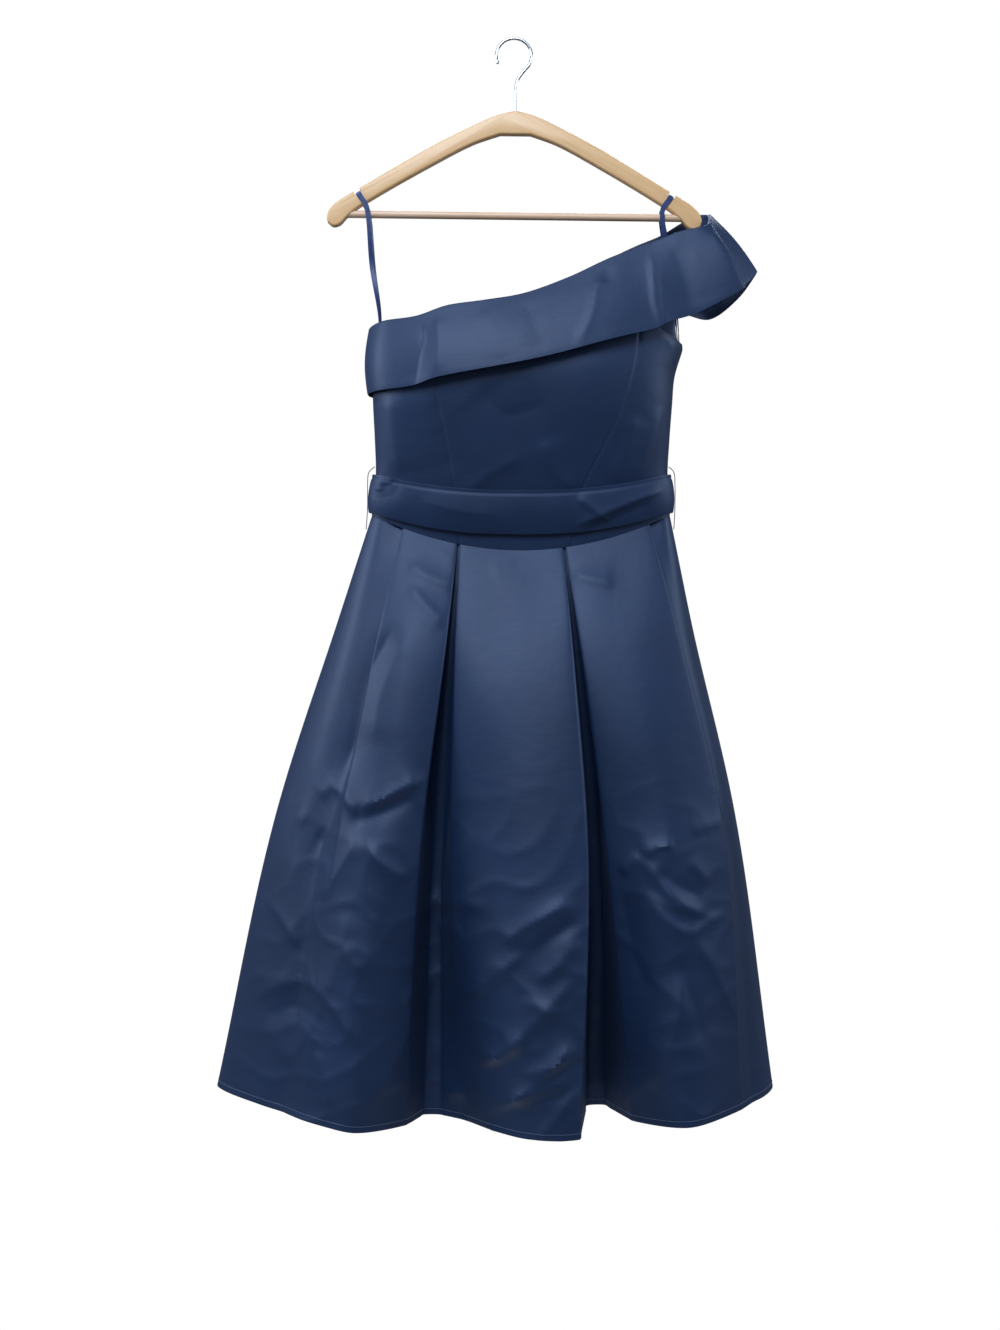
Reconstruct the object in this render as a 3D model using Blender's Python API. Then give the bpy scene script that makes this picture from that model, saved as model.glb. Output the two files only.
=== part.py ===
"""A one-shoulder satin dress on a wooden hanger.

Metres, +Z up. The front faces -Y and the single shoulder is at +X. The origin is the top of the inside of
the hanger's hook, where a rail bears. Every cloth piece is a wall around a middle surface. The middle
surfaces come from short tables of real sizes, read by smooth curves, and go round the body from the bare
side, across the front, to the shoulder side and back behind.
"""

import math
from collections import namedtuple

import bmesh
import bpy
import numpy as np
from mathutils import Matrix, Vector

# Cloth
WALL = 0.0012
BELT_WALL = 0.0020
SEAM_GAP = 0.0003
LAYER_PITCH = 0.0020

# Body of the dress: a row for each height. bare and shoulder are the X of the two side edges, front and back
# are the depths, and the last two are the X of the princess seams.
CENTRE_X = 0.008
SQUARENESS = 2.5
SIDE_SHARE = 0.992
Section = namedtuple("Section", "height bare shoulder front back bare_seam shoulder_seam")
BODY = (
    Section(-0.563, -0.168, 0.184, 0.034, 0.030, -0.064, 0.066),
    Section(-0.515, -0.163, 0.181, 0.046, 0.036, -0.070, 0.078),
    Section(-0.475, -0.164, 0.183, 0.060, 0.041, -0.078, 0.104),
    Section(-0.434, -0.166, 0.186, 0.072, 0.047, -0.088, 0.127),
    Section(-0.400, -0.167, 0.189, 0.076, 0.050, -0.094, 0.138),
    Section(-0.366, -0.168, 0.199, 0.071, 0.050, -0.098, 0.143),
    Section(-0.335, -0.168, 0.206, 0.062, 0.047, -0.100, 0.145),
    Section(-0.290, -0.168, 0.228, 0.049, 0.041, -0.102, 0.148),
    Section(-0.225, -0.168, 0.240, 0.036, 0.034, -0.104, 0.152),
)
WAIST = BODY[0].height
UNDERARM = BODY[5].height
FRONT_WAIST_SAG = 0.043
BACK_WAIST_SAG = 0.012
SAG_ENDS_AT = -0.400

# Armhole edges: how far round from the bare side (0) to the shoulder side (1) the cloth goes at each height
Edge = namedtuple("Edge", "height turn")
ARMHOLE_FRONT = (
    Edge(UNDERARM, 1.00),
    Edge(-0.3615, 0.90),
    Edge(-0.355, 0.82),
    Edge(-0.340, 0.775),
    Edge(-0.300, 0.750),
    Edge(-0.225, 0.735),
)
ARMHOLE_BACK = (
    Edge(UNDERARM, 1.00),
    Edge(-0.358, 0.93),
    Edge(-0.342, 0.885),
    Edge(-0.318, 0.855),
    Edge(-0.280, 0.80),
    Edge(-0.225, 0.75),
)
ROWS_ABOVE_UNDERARM = (0.0, 0.40, 0.75, 0.92, 1.0)
ROWS_BELOW_UNDERARM = 5

# Folded band round the neckline. Each row gives the top fold and the bottom edge; flare is how far the bottom
# edge stands off the bodice. The rows round the shoulder have no bodice below them, so they give whole points.
BAND_STAND = 0.0150
BAND_FOLD_RADIUS = 0.0017
OnBody = namedtuple("OnBody", "name top_x top_z bottom_x bottom_z flare")
Free = namedtuple("Free", "name top bottom")
BAND_FRONT = (
    OnBody("bare_side_seam", -0.168, -0.343, -0.1665, -0.4210, 0.0060),
    OnBody("bare_side", -0.152, -0.3405, -0.154, -0.4215, 0.0080),
    OnBody("bare_hollow", -0.112, -0.338, -0.114, -0.4185, 0.0070),
    OnBody("bare_ridge", -0.078, -0.327, -0.088, -0.412, 0.0120),
    OnBody("centre_bare", -0.035, -0.321, -0.035, -0.403, 0.0120),
    OnBody("centre", 0.010, -0.313, 0.020, -0.393, 0.0130),
    OnBody("centre_shoulder", 0.062, -0.293, 0.079, -0.377, 0.0130),
    OnBody("shoulder_ridge", 0.112, -0.268, 0.128, -0.362, 0.0140),
    OnBody("shoulder_panel", 0.160, -0.249, 0.170, -0.3485, 0.0180),
    Free("over_armhole", (0.1930, -0.0320, -0.2355), (0.2120, -0.0520, -0.3330)),
    Free("front_crease", (0.2215, -0.0290, -0.2285), (0.2640, -0.0420, -0.3040)),
    Free("gusset_hollow", (0.2275, -0.0130, -0.2180), (0.2710, -0.0230, -0.2950)),
    Free("gusset", (0.2295, 0.0060, -0.2080), (0.2800, -0.0080, -0.2840)),
)
BAND_BACK = (
    Free("shoulder_seam", (0.2300, 0.0210, -0.2020), (0.2890, 0.0060, -0.2730)),
    Free("back_crease", (0.2200, 0.0300, -0.2000), (0.2690, 0.0300, -0.3000)),
    Free("back_corner", (0.2030, 0.0310, -0.2080), (0.2370, 0.0430, -0.3220)),
    OnBody("back_armhole", 0.178, -0.224, 0.200, -0.3180, 0.0080),
    OnBody("back_shoulder_panel", 0.145, -0.237, 0.155, -0.3260, 0.0120),
    OnBody("back_ridge", 0.090, -0.262, 0.100, -0.3500, 0.0110),
    OnBody("centre_back", 0.008, -0.299, 0.008, -0.3830, 0.0090),
    OnBody("back_bare", -0.080, -0.325, -0.085, -0.4080, 0.0090),
    OnBody("back_bare_side", -0.152, -0.340, -0.154, -0.4200, 0.0070),
)
BAND_FRONT_STEPS = (2, 3, 3, 3, 3, 3, 3, 4, 6, 2, 2, 2, 2)
BAND_BACK_STEPS = (2, 2, 2, 3, 4, 5, 5, 5, 2)
BAND_OUTER_ROWS = 5
CENTRE_BACK_ROW = 6
ARMHOLE_BACK_ROW = 3

# Columns of the band where a seam or an edge of the front bodice meets it
BARE_SEAM_COLUMN = 6
SHOULDER_SEAM_COLUMN = 23
FRONT_EDGE_COLUMN = 27

# Skirt: a row for each fold, with its place at the waist, hip, thigh and hem. A lip is the edge of a pleat
# and turns the cloth back under its panel; it faces along the way round (+1) or against it (-1).
SKIRT_LEVELS = (0.0, 0.18, 0.5, 1.0)
Fold = namedtuple("Fold", "name faces waist_x hip thigh hem")
SKIRT_FRONT = (
    Fold("bare_side_seam", 0, -0.168, (-0.207, 0.000), (-0.277, 0.000), (-0.351, 0.000)),
    Fold("bare_side", 0, -0.156, (-0.190, -0.036), (-0.246, -0.052), (-0.292, -0.064)),
    Fold("bare_side_underlay", 0, -0.136, (-0.166, -0.052), (-0.214, -0.074), (-0.262, -0.086)),
    Fold("bare_outer_lip", -1, -0.130, (-0.156, -0.068), (-0.195, -0.100), (-0.238, -0.112)),
    Fold("bare_panel", 0, -0.098, (-0.118, -0.080), (-0.150, -0.124), (-0.178, -0.150)),
    Fold("bare_inner_lip", 1, -0.0665, (-0.078, -0.077), (-0.104, -0.110), (-0.122, -0.108)),
    Fold("bare_underlay_outer", 0, -0.0656, (-0.076, -0.048), (-0.093, -0.052), (-0.104, -0.062)),
    Fold("bare_underlay_inner", 0, -0.0644, (-0.071, -0.048), (-0.081, -0.052), (-0.086, -0.060)),
    Fold("centre_bare_lip", -1, -0.0635, (-0.068, -0.074), (-0.072, -0.092), (-0.058, -0.080)),
    Fold("centre_panel", 0, -0.004, (-0.003, -0.084), (0.000, -0.130), (0.012, -0.160)),
    Fold("centre_shoulder_lip", 1, 0.0566, (0.066, -0.081), (0.080, -0.126), (0.070, -0.166)),
    Fold("shoulder_underlay_inner", 0, 0.0576, (0.068, -0.045), (0.083, -0.042), (0.085, -0.026)),
    Fold("shoulder_underlay_outer", 0, 0.0588, (0.074, -0.045), (0.097, -0.042), (0.105, -0.026)),
    Fold("shoulder_inner_lip", -1, 0.0598, (0.075, -0.076), (0.101, -0.094), (0.132, -0.098)),
    Fold("shoulder_panel", 0, 0.110, (0.130, -0.076), (0.166, -0.112), (0.190, -0.144)),
    Fold("shoulder_outer_lip", 1, 0.158, (0.186, -0.060), (0.233, -0.084), (0.256, -0.092)),
    Fold("shoulder_side_underlay", 0, 0.163, (0.190, -0.044), (0.240, -0.060), (0.272, -0.066)),
    Fold("shoulder_side", 0, 0.177, (0.200, -0.030), (0.250, -0.040), (0.290, -0.044)),
)
SKIRT_BACK = (
    Fold("shoulder_side_seam", 0, 0.184, (0.208, 0.000), (0.257, 0.000), (0.305, 0.000)),
    Fold("shoulder_back_side", 0, 0.173, (0.196, 0.028), (0.244, 0.044), (0.282, 0.056)),
    Fold("shoulder_back_hip", 0, 0.140, (0.158, 0.052), (0.196, 0.086), (0.228, 0.122)),
    Fold("shoulder_back_panel", 0, 0.108, (0.124, 0.064), (0.154, 0.102), (0.176, 0.134)),
    Fold("shoulder_back_outer_lip", 1, 0.0780, (0.092, 0.064), (0.116, 0.096), (0.128, 0.110)),
    Fold("shoulder_back_underlay_outer", 0, 0.0772, (0.089, 0.038), (0.109, 0.050), (0.114, 0.056)),
    Fold("shoulder_back_underlay_inner", 0, 0.0760, (0.083, 0.038), (0.096, 0.050), (0.096, 0.056)),
    Fold("shoulder_back_inner_lip", -1, 0.0752, (0.080, 0.064), (0.088, 0.090), (0.080, 0.090)),
    Fold("shoulder_back_centre", 0, 0.038, (0.040, 0.068), (0.042, 0.112), (0.034, 0.138)),
    Fold("centre_back_seam", 0, 0.008, (0.008, 0.068), (0.004, 0.114), (-0.004, 0.146)),
    Fold("bare_back_centre", 0, -0.022, (-0.024, 0.068), (-0.034, 0.112), (-0.044, 0.140)),
    Fold("bare_back_inner_lip", 1, -0.0592, (-0.064, 0.064), (-0.080, 0.092), (-0.092, 0.098)),
    Fold("bare_back_underlay_inner", 0, -0.0600, (-0.067, 0.038), (-0.087, 0.050), (-0.106, 0.058)),
    Fold("bare_back_underlay_outer", 0, -0.0612, (-0.073, 0.038), (-0.100, 0.050), (-0.126, 0.058)),
    Fold("bare_back_outer_lip", -1, -0.0620, (-0.076, 0.064), (-0.107, 0.096), (-0.138, 0.108)),
    Fold("bare_back_panel", 0, -0.092, (-0.112, 0.064), (-0.150, 0.102), (-0.188, 0.136)),
    Fold("bare_back_hip", 0, -0.124, (-0.150, 0.052), (-0.202, 0.086), (-0.250, 0.120)),
    Fold("bare_back_side", 0, -0.156, (-0.193, 0.028), (-0.254, 0.044), (-0.318, 0.056)),
)
HEM = -1.236
FRONT_HEM_SAG = 0.020
BACK_HEM_SAG = 0.010
PLEAT_RETURN = 0.027
PLEAT_OPEN_BY = 0.60
PLEAT_LOOSENS = 4.0
SKIRT_ROWS = (0.0, 0.04, 0.10, 0.18, 0.28, 0.40, 0.53, 0.68, 0.84, 1.0)

# Belt: a loose sash, held at the sides, that sags in front. Its outer end laps over the inner one at the back.
BELT_TOP = -0.5150
BELT_SIDE_WIDTH = 0.0440
BELT_FRONT_WIDTH = 0.0500
BELT_FRONT_SAG = 0.0225
BELT_BACK_SAG = 0.0060
BELT_STAND_OFF = 0.0035
BELT_BULGE = 0.0030
BELT_START = 1.62
BELT_LAP = 0.13
BELT_LIFT = 0.0028
BELT_COLUMNS = 54
BELT_ROWS = 5

# Thread loops that carry the belt at the side seams
THREAD_RADIUS = 0.0006
THREAD_TOP = -0.5050
THREAD_BOTTOM = -0.5790
THREAD_CLEARANCE = 0.0003

# Concealed zip behind the centre-back seam, and its slider with a flat pull outside
ZIP_TAPE_WIDTH = 0.026
ZIP_COIL_WIDTH = 0.005
ZIP_TAPE_THICKNESS = 0.0008
ZIP_COIL_THICKNESS = 0.0022
ZIP_SKIRT_ROWS = 5
PULL_LENGTH = 0.020
PULL_WIDTH = 0.006
PULL_THICKNESS = 0.0014
PULL_DROP = 0.014

# Hanger, drawn level about its own centre and then hung from the hook
HANGER_SHIFT = 0.003
HANGER_TILT = math.radians(0.7)
HANGER_THICKNESS = 0.012
ARM_UPPER_EDGE = (
    (0.0000, -0.0850),
    (0.0220, -0.0905),
    (0.0600, -0.1080),
    (0.1000, -0.1290),
    (0.1350, -0.1495),
    (0.1700, -0.1705),
    (0.1950, -0.1855),
    (0.2110, -0.1960),
    (0.2190, -0.2050),
    (0.2218, -0.2130),
)
ARM_LOWER_EDGE = (
    (0.2205, -0.2190),
    (0.2140, -0.2235),
    (0.2060, -0.2215),
    (0.1980, -0.2130),
    (0.1880, -0.2040),
    (0.1600, -0.1860),
    (0.0980, -0.1500),
    (0.0500, -0.1245),
    (0.0180, -0.1130),
)
EDGE_ROUNDING = 0.0025
NOTCH_X = 0.1870
NOTCH_DEPTH = 0.0050
NOTCH_WIDTH = 0.0085
ARM_SLOPE = math.radians(31.0)
BAR_RADIUS = 0.0044
BAR_HEIGHT = -0.2085
BAR_HALF_LENGTH = 0.2060
BAR_SIDES = 16
WIRE_RADIUS = 0.0018
HOOK_INNER_RADIUS = 0.0190
HOOK_BORE_DEPTH = 0.0120
HOOK_START = math.radians(-50.0)
HOOK_END = math.radians(207.0)

# Ribbon loops that hang the dress from the notches
RIBBON_WIDTH = 0.0060
RIBBON_THICKNESS = 0.0010
RIBBON_FOOT_TOP = -0.3760
RIBBON_FOOT_BOTTOM = -0.3900
RIBBON_STRANDS_APART = 0.0017
RIBBON_SLACK = 0.0004

Finish = namedtuple("Finish", "colour roughness metallic")
FINISHES = {
    "satin": Finish((0.030, 0.045, 0.105), 0.45, 0.0),
    "ribbon": Finish((0.020, 0.040, 0.130), 0.40, 0.0),
    "thread": Finish((0.060, 0.075, 0.140), 0.60, 0.0),
    "zip": Finish((0.015, 0.025, 0.070), 0.50, 0.0),
    "beech": Finish((0.640, 0.420, 0.200), 0.45, 0.0),
    "steel": Finish((0.700, 0.700, 0.720), 0.25, 1.0),
}


def make_material(name, finish):
    """A Principled material of its own for one object."""
    material = bpy.data.materials.new(name)
    material.use_nodes = True
    shader = material.node_tree.nodes["Principled BSDF"]
    shader.inputs["Base Color"].default_value = (*finish.colour, 1.0)
    shader.inputs["Roughness"].default_value = finish.roughness
    shader.inputs["Metallic"].default_value = finish.metallic
    return material


def add_object(name, data, finish_name):
    """Links a mesh or curve as a named object with its finish."""
    data.materials.append(make_material(f"{name}_{finish_name}", FINISHES[finish_name]))
    part = bpy.data.objects.new(name, data)
    bpy.context.scene.collection.objects.link(part)
    return part


# Curves


def slopes_of(places, values):
    """Slopes of a smooth curve through values at the given places, from the spans on each side."""
    spans = np.diff(places)
    rises = np.diff(values, axis=0) / spans.reshape((-1,) + (1,) * (values.ndim - 1))
    slopes = np.empty_like(values)
    slopes[0], slopes[-1] = rises[0], rises[-1]
    for i in range(1, len(places) - 1):
        before, after = spans[i - 1], spans[i]
        slopes[i] = (rises[i - 1] * after + rises[i] * before) / (before + after)
    return slopes


def between(values, slopes, span, i, s):
    """Value of the smooth curve at share s of span i."""
    return (
        (2 * s**3 - 3 * s**2 + 1) * values[i]
        + (s**3 - 2 * s**2 + s) * span * slopes[i]
        + (3 * s**2 - 2 * s**3) * values[i + 1]
        + (s**3 - s**2) * span * slopes[i + 1]
    )


def read_curve(places, values, at):
    """Value of the smooth curve through values at one place."""
    places, values = np.asarray(places, float), np.asarray(values, float)
    at = min(max(at, places[0]), places[-1])
    i = min(max(int(np.searchsorted(places, at, side="right")) - 1, 0), len(places) - 2)
    span = places[i + 1] - places[i]
    return between(values, slopes_of(places, values), span, i, (at - places[i]) / span)


def smooth_path(points, steps):
    """Points along a smooth curve through points, with steps[i] pieces in span i."""
    points = np.asarray(points, float)
    lengths = np.linalg.norm(np.diff(points, axis=0), axis=1)
    places = np.concatenate([[0.0], np.cumsum(np.maximum(lengths, 1e-5) ** 0.5)])
    slopes = slopes_of(places, points)
    found = [points[0]]
    for i, count in enumerate(steps):
        span = places[i + 1] - places[i]
        found += [between(points, slopes, span, i, k / count) for k in range(1, count + 1)]
    return np.array(found)


def smooth_ring(points, steps):
    """Points along a smooth closed curve. The last span leads back to the first point, which isn't repeated."""
    points = list(points)
    padded = points[-3:] + points + points[:3]
    path = smooth_path(padded, [1, 1, 1] + list(steps) + [1, 1])
    return path[3 : 3 + sum(steps)]


# The body's form


def section_at(height):
    """The body's section at a height, read from the table."""
    return Section(*read_curve([s.height for s in BODY], [tuple(s) for s in BODY], height))


def body_point(turn, height, front, outward=0.0):
    """Point of the body: turn is 0 at the bare side and 1 at the shoulder side."""
    section = section_at(height)
    angle = math.pi * turn
    power = 2.0 / SQUARENESS
    across = -math.copysign(abs(math.cos(angle)) ** power, math.cos(angle))
    reach = abs(math.sin(angle)) ** power * (-1.0 if front else 1.0)
    half = section.shoulder - CENTRE_X if across > 0 else CENTRE_X - section.bare
    depth = section.front if front else section.back
    point = np.array([CENTRE_X + half * across, depth * reach, height - sag(across, height, front)])
    if outward:
        normal = np.array([across * abs(across) ** 0.5 / half, reach * abs(reach) ** 0.5 / depth, 0.0])
        point += normal / np.linalg.norm(normal) * outward
    return point


def turn_of(x, height):
    """The turn whose point has that x."""
    section = section_at(height)
    half = section.shoulder - CENTRE_X if x > CENTRE_X else CENTRE_X - section.bare
    share = (x - CENTRE_X) / half
    if abs(share) > SIDE_SHARE:
        share = math.copysign(1.0, share)
    return math.acos(-math.copysign(abs(share) ** (SQUARENESS / 2.0), share)) / math.pi


def point_on_body(x, height, front):
    """Point of the body at that x and height."""
    return body_point(turn_of(x, height), height, front)


def sag(across, height, front):
    """How far the cloth hangs below its height, most at the centre of the waist."""
    most = FRONT_WAIST_SAG if front else BACK_WAIST_SAG
    fade = (SAG_ENDS_AT - height) / (SAG_ENDS_AT - WAIST)
    return most * min(max(fade, 0.0), 1.0) ** 1.5 * (1.0 - min(across * across, 1.0))


# Solids from a grid of points


def grid_normals(grid, closed=False):
    """Unit normals of a grid of points, from the rows and columns on each side of each point."""
    padded = np.concatenate([grid[:, -1:], grid, grid[:, :1]], axis=1) if closed else grid
    along = np.gradient(padded, axis=1)
    if closed:
        along = along[:, 1:-1]
    normals = np.cross(along, np.gradient(grid, axis=0))
    return normals / np.maximum(np.linalg.norm(normals, axis=2, keepdims=True), 1e-12)


def level_out(normals, row):
    """Turns a row's normals level, so that the two walls at a seam meet squarely."""
    normals[row, :, 2] = 0.0
    normals[row] /= np.linalg.norm(normals[row], axis=1, keepdims=True)


def cut_piece(grid, normals, first, last):
    """The columns first to last of a surface, each edge drawn back by half a seam gap."""
    columns = [i % grid.shape[1] for i in range(first, last + 1)]
    piece, facing = grid[:, columns].copy(), normals[:, columns]
    for edge, inside in ((0, 1), (-1, -2)):
        along = piece[:, inside] - piece[:, edge]
        along -= facing[:, edge] * np.sum(along * facing[:, edge], axis=1, keepdims=True)
        piece[:, edge] += along / np.linalg.norm(along, axis=1, keepdims=True) * SEAM_GAP / 2.0
    return piece, facing


def solid_between(name, outer, inner):
    """A closed wall between two grids of points that match. Both skins are split along the same diagonals."""
    rows, columns = outer.shape[:2]
    mesh = bmesh.new()
    skins = [[[mesh.verts.new(p) for p in row] for row in skin] for skin in (outer, inner)]
    middle = (outer + inner) / 2.0
    falling = np.linalg.norm(middle[1:, 1:] - middle[:-1, :-1], axis=2)
    rising = np.linalg.norm(middle[1:, :-1] - middle[:-1, 1:], axis=2)
    for skin, flip in zip(skins, (False, True)):
        for j in range(rows - 1):
            for i in range(columns - 1):
                a, b, c, d = skin[j][i], skin[j + 1][i], skin[j + 1][i + 1], skin[j][i + 1]
                halves = ((a, b, c), (a, c, d)) if falling[j, i] < rising[j, i] else ((a, b, d), (b, c, d))
                for half in halves:
                    mesh.faces.new(half[::-1] if flip else half)
    rim = [(0, i) for i in range(columns)]
    rim += [(j, columns - 1) for j in range(1, rows)]
    rim += [(rows - 1, i) for i in range(columns - 2, -1, -1)]
    rim += [(j, 0) for j in range(rows - 2, 0, -1)]
    for (j, i), (k, m) in zip(rim, rim[1:] + rim[:1]):
        mesh.faces.new((skins[0][j][i], skins[0][k][m], skins[1][k][m], skins[1][j][i]))
    bmesh.ops.recalc_face_normals(mesh, faces=mesh.faces)
    data = bpy.data.meshes.new(name)
    mesh.to_mesh(data)
    mesh.free()
    data.shade_smooth()
    data.set_sharp_from_angle(angle=math.radians(50.0))
    return data


def add_wall(name, piece, facing, finish_name="satin", wall=WALL):
    """A cloth piece: a wall round its middle surface."""
    half = facing * wall / 2.0
    return add_object(name, solid_between(name, piece + half, piece - half), finish_name)


def add_wire(name, points, radius, resolution, finish_name):
    """A round wire or thread along a list of points."""
    curve = bpy.data.curves.new(name, "CURVE")
    curve.dimensions = "3D"
    curve.bevel_depth = radius
    curve.bevel_resolution = resolution
    curve.use_fill_caps = True
    line = curve.splines.new("POLY")
    line.points.add(len(points) - 1)
    for place, point in zip(line.points, points):
        place.co = (*point, 1.0)
    return add_object(name, curve, finish_name)


# Band


def band_lines(row, front):
    """A band row's stand foot, top fold and bottom edge, and its flare."""
    if isinstance(row, Free):
        top, bottom = np.array(row.top), np.array(row.bottom)
        foot = top + (bottom - top) * BAND_STAND / np.linalg.norm(bottom - top)
        return foot, top, bottom, 0.0
    foot = point_on_body(row.top_x, row.top_z - BAND_STAND, front)
    top = point_on_body(row.top_x, row.top_z, front)
    bottom = point_on_body(row.bottom_x, row.bottom_z, front)
    return foot, top, bottom, row.flare


def outward_along(points):
    """Horizontal unit vectors out of a closed path that goes round the dress."""
    padded = np.concatenate([points[-1:], points, points[:1]])
    tangents = (padded[2:] - padded[:-2])[:, :2]
    normals = np.column_stack([tangents[:, 1], -tangents[:, 0], np.zeros(len(points))])
    return normals / np.linalg.norm(normals, axis=1, keepdims=True)


def band_paths():
    """The band's stand foot, top fold and bottom edge, all the way round."""
    rows = [band_lines(row, True) for row in BAND_FRONT] + [band_lines(row, False) for row in BAND_BACK]
    steps = BAND_FRONT_STEPS + BAND_BACK_STEPS
    foot, top, bottom = (smooth_ring([row[k] for row in rows], steps) for k in range(3))
    flare = smooth_ring([[row[3]] for row in rows], steps)
    return foot, top, bottom + outward_along(bottom) * flare


def band_surface():
    """Middle surface of the folded band: up its stand, over the top fold and down the outside."""
    foot, top, bottom = band_paths()
    radius = BAND_FOLD_RADIUS
    up = (top - foot) / np.linalg.norm(top - foot, axis=1, keepdims=True)
    out = outward_along(top)
    out -= up * np.sum(out * up, axis=1, keepdims=True)
    out /= np.linalg.norm(out, axis=1, keepdims=True)
    middle = top - up * radius + out * radius
    grid = [foot + up * SEAM_GAP]
    for degrees in (0.0, 45.0, 90.0, 135.0, 180.0):
        angle = math.radians(degrees)
        grid.append(middle - out * radius * math.cos(angle) + up * radius * math.sin(angle))
    start = grid[-1]
    for k in range(1, BAND_OUTER_ROWS + 1):
        share = k / BAND_OUTER_ROWS
        belly = out * 0.004 * math.sin(math.pi * share)
        grid.append(start + (bottom - start) * share + belly)
    return np.array(grid)


def build_band():
    """The band in three pieces: the front, and a back on each side of the zip."""
    grid = band_surface()
    normals = grid_normals(grid, closed=True)
    level_out(normals, 0)
    shoulder_seam = sum(BAND_FRONT_STEPS)
    centre_back = shoulder_seam + sum(BAND_BACK_STEPS[:CENTRE_BACK_ROW])
    round_again = grid.shape[1]
    add_wall("band_front", *cut_piece(grid, normals, 0, shoulder_seam))
    add_wall("band_back_shoulder_side", *cut_piece(grid, normals, shoulder_seam, centre_back))
    add_wall("band_back_bare_side", *cut_piece(grid, normals, centre_back, round_again))


# Bodice


def edge_turn(edges, height):
    """Turn of an armhole's edge at a height."""
    heights = [edge.height for edge in edges]
    return 1.0 if height <= UNDERARM else read_curve(heights, [edge.turn for edge in edges], height)


def turn_of_point(point, front):
    """Turn of the body's point in the same direction as a point, seen from the body's middle."""
    low, high = 0.0, 1.0
    wanted = math.atan2(abs(point[1]), point[0] - CENTRE_X)
    for _ in range(40):
        turn = (low + high) / 2.0
        found = body_point(turn, point[2], front)
        if math.atan2(abs(found[1]), found[0] - CENTRE_X) > wanted:
            low = turn
        else:
            high = turn
    return turn


def bodice_surface(tops, front, lines, stops):
    """Middle surface of the front or the back, from the bare side to the armhole.

    tops are the points of its top edge. lines are functions that give the turn of each seam or edge at a
    height, and stops are the columns where they meet the top edge.
    """
    turns = [turn_of_point(top, front) for top in tops]
    upper = (tops[-1][2] - UNDERARM) / (tops[-1][2] - WAIST)
    shares = [upper * share for share in ROWS_ABOVE_UNDERARM]
    shares += [upper + (1.0 - upper) * k / ROWS_BELOW_UNDERARM for k in range(1, ROWS_BELOW_UNDERARM + 1)]
    grid = np.empty((len(shares), len(tops), 3))
    for column, top in enumerate(tops):
        k = max(i for i, stop in enumerate(stops[:-1]) if stop <= column)
        first, last = turns[stops[k]], turns[stops[k + 1]]
        across = (turns[column] - first) / (last - first)
        grid[0, column] = top
        for j, share in enumerate(shares[1:], 1):
            height = top[2] + (WAIST - top[2]) * share
            left, right = lines[k](height), lines[k + 1](height)
            grid[j, column] = body_point(left + (right - left) * across, height, front)
    grid[-1, :, 2] += SEAM_GAP / 2.0
    return grid


def bodice_normals(grid):
    """Normals of a bodice surface, square to the side seams so that front and back meet."""
    normals = grid_normals(grid)
    underarm_row = len(ROWS_ABOVE_UNDERARM) - 1
    for rows, column in ((slice(None), 0), (slice(underarm_row, None), -1)):
        normals[rows, column, 1] = 0.0
        normals[rows, column] /= np.linalg.norm(normals[rows, column], axis=1, keepdims=True)
    level_out(normals, 0)
    level_out(normals, -1)
    return normals


def build_bodice():
    """Three front panels joined by princess seams, and two back panels joined by the zip."""
    foot = band_paths()[0]

    def bare_edge(height):
        return 0.0

    def front_edge(height):
        return edge_turn(ARMHOLE_FRONT, height)

    def back_edge(height):
        return edge_turn(ARMHOLE_BACK, height)

    def bare_seam(height):
        return turn_of(section_at(height).bare_seam, height)

    def shoulder_seam(height):
        return turn_of(section_at(height).shoulder_seam, height)

    def centre_back(height):
        return turn_of(CENTRE_X, height)

    front_columns = (0, BARE_SEAM_COLUMN, SHOULDER_SEAM_COLUMN, FRONT_EDGE_COLUMN)
    front_lines = (bare_edge, bare_seam, shoulder_seam, front_edge)
    front = bodice_surface(foot[: FRONT_EDGE_COLUMN + 1], True, front_lines, front_columns)
    back_edge_column = sum(BAND_FRONT_STEPS) + sum(BAND_BACK_STEPS[:ARMHOLE_BACK_ROW])
    back_tops = np.concatenate([foot[:1], foot[: back_edge_column - 1 : -1]])
    centre = sum(BAND_BACK_STEPS[CENTRE_BACK_ROW:])
    back_columns = (0, centre, len(back_tops) - 1)
    back = bodice_surface(back_tops, False, (bare_edge, centre_back, back_edge), back_columns)
    normals = bodice_normals(front)
    names = ("bodice_side_front_bare", "bodice_centre_front", "bodice_side_front_shoulder")
    for name, first, last in zip(names, front_columns, front_columns[1:]):
        add_wall(name, *cut_piece(front, normals, first, last))
    normals = -bodice_normals(back)
    names = ("bodice_back_bare_side", "bodice_back_shoulder_side")
    for name, first, last in zip(names, back_columns, back_columns[1:]):
        add_wall(name, *cut_piece(back, normals, first, last))
    return front, back, centre


# Skirt


def fold_place(row, t, front):
    """Plan place of a skirt table's row at share t of the way down."""
    waist = point_on_body(row.waist_x, WAIST, front)[:2]
    return read_curve(SKIRT_LEVELS, [waist, row.hip, row.thigh, row.hem], t)


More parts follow.
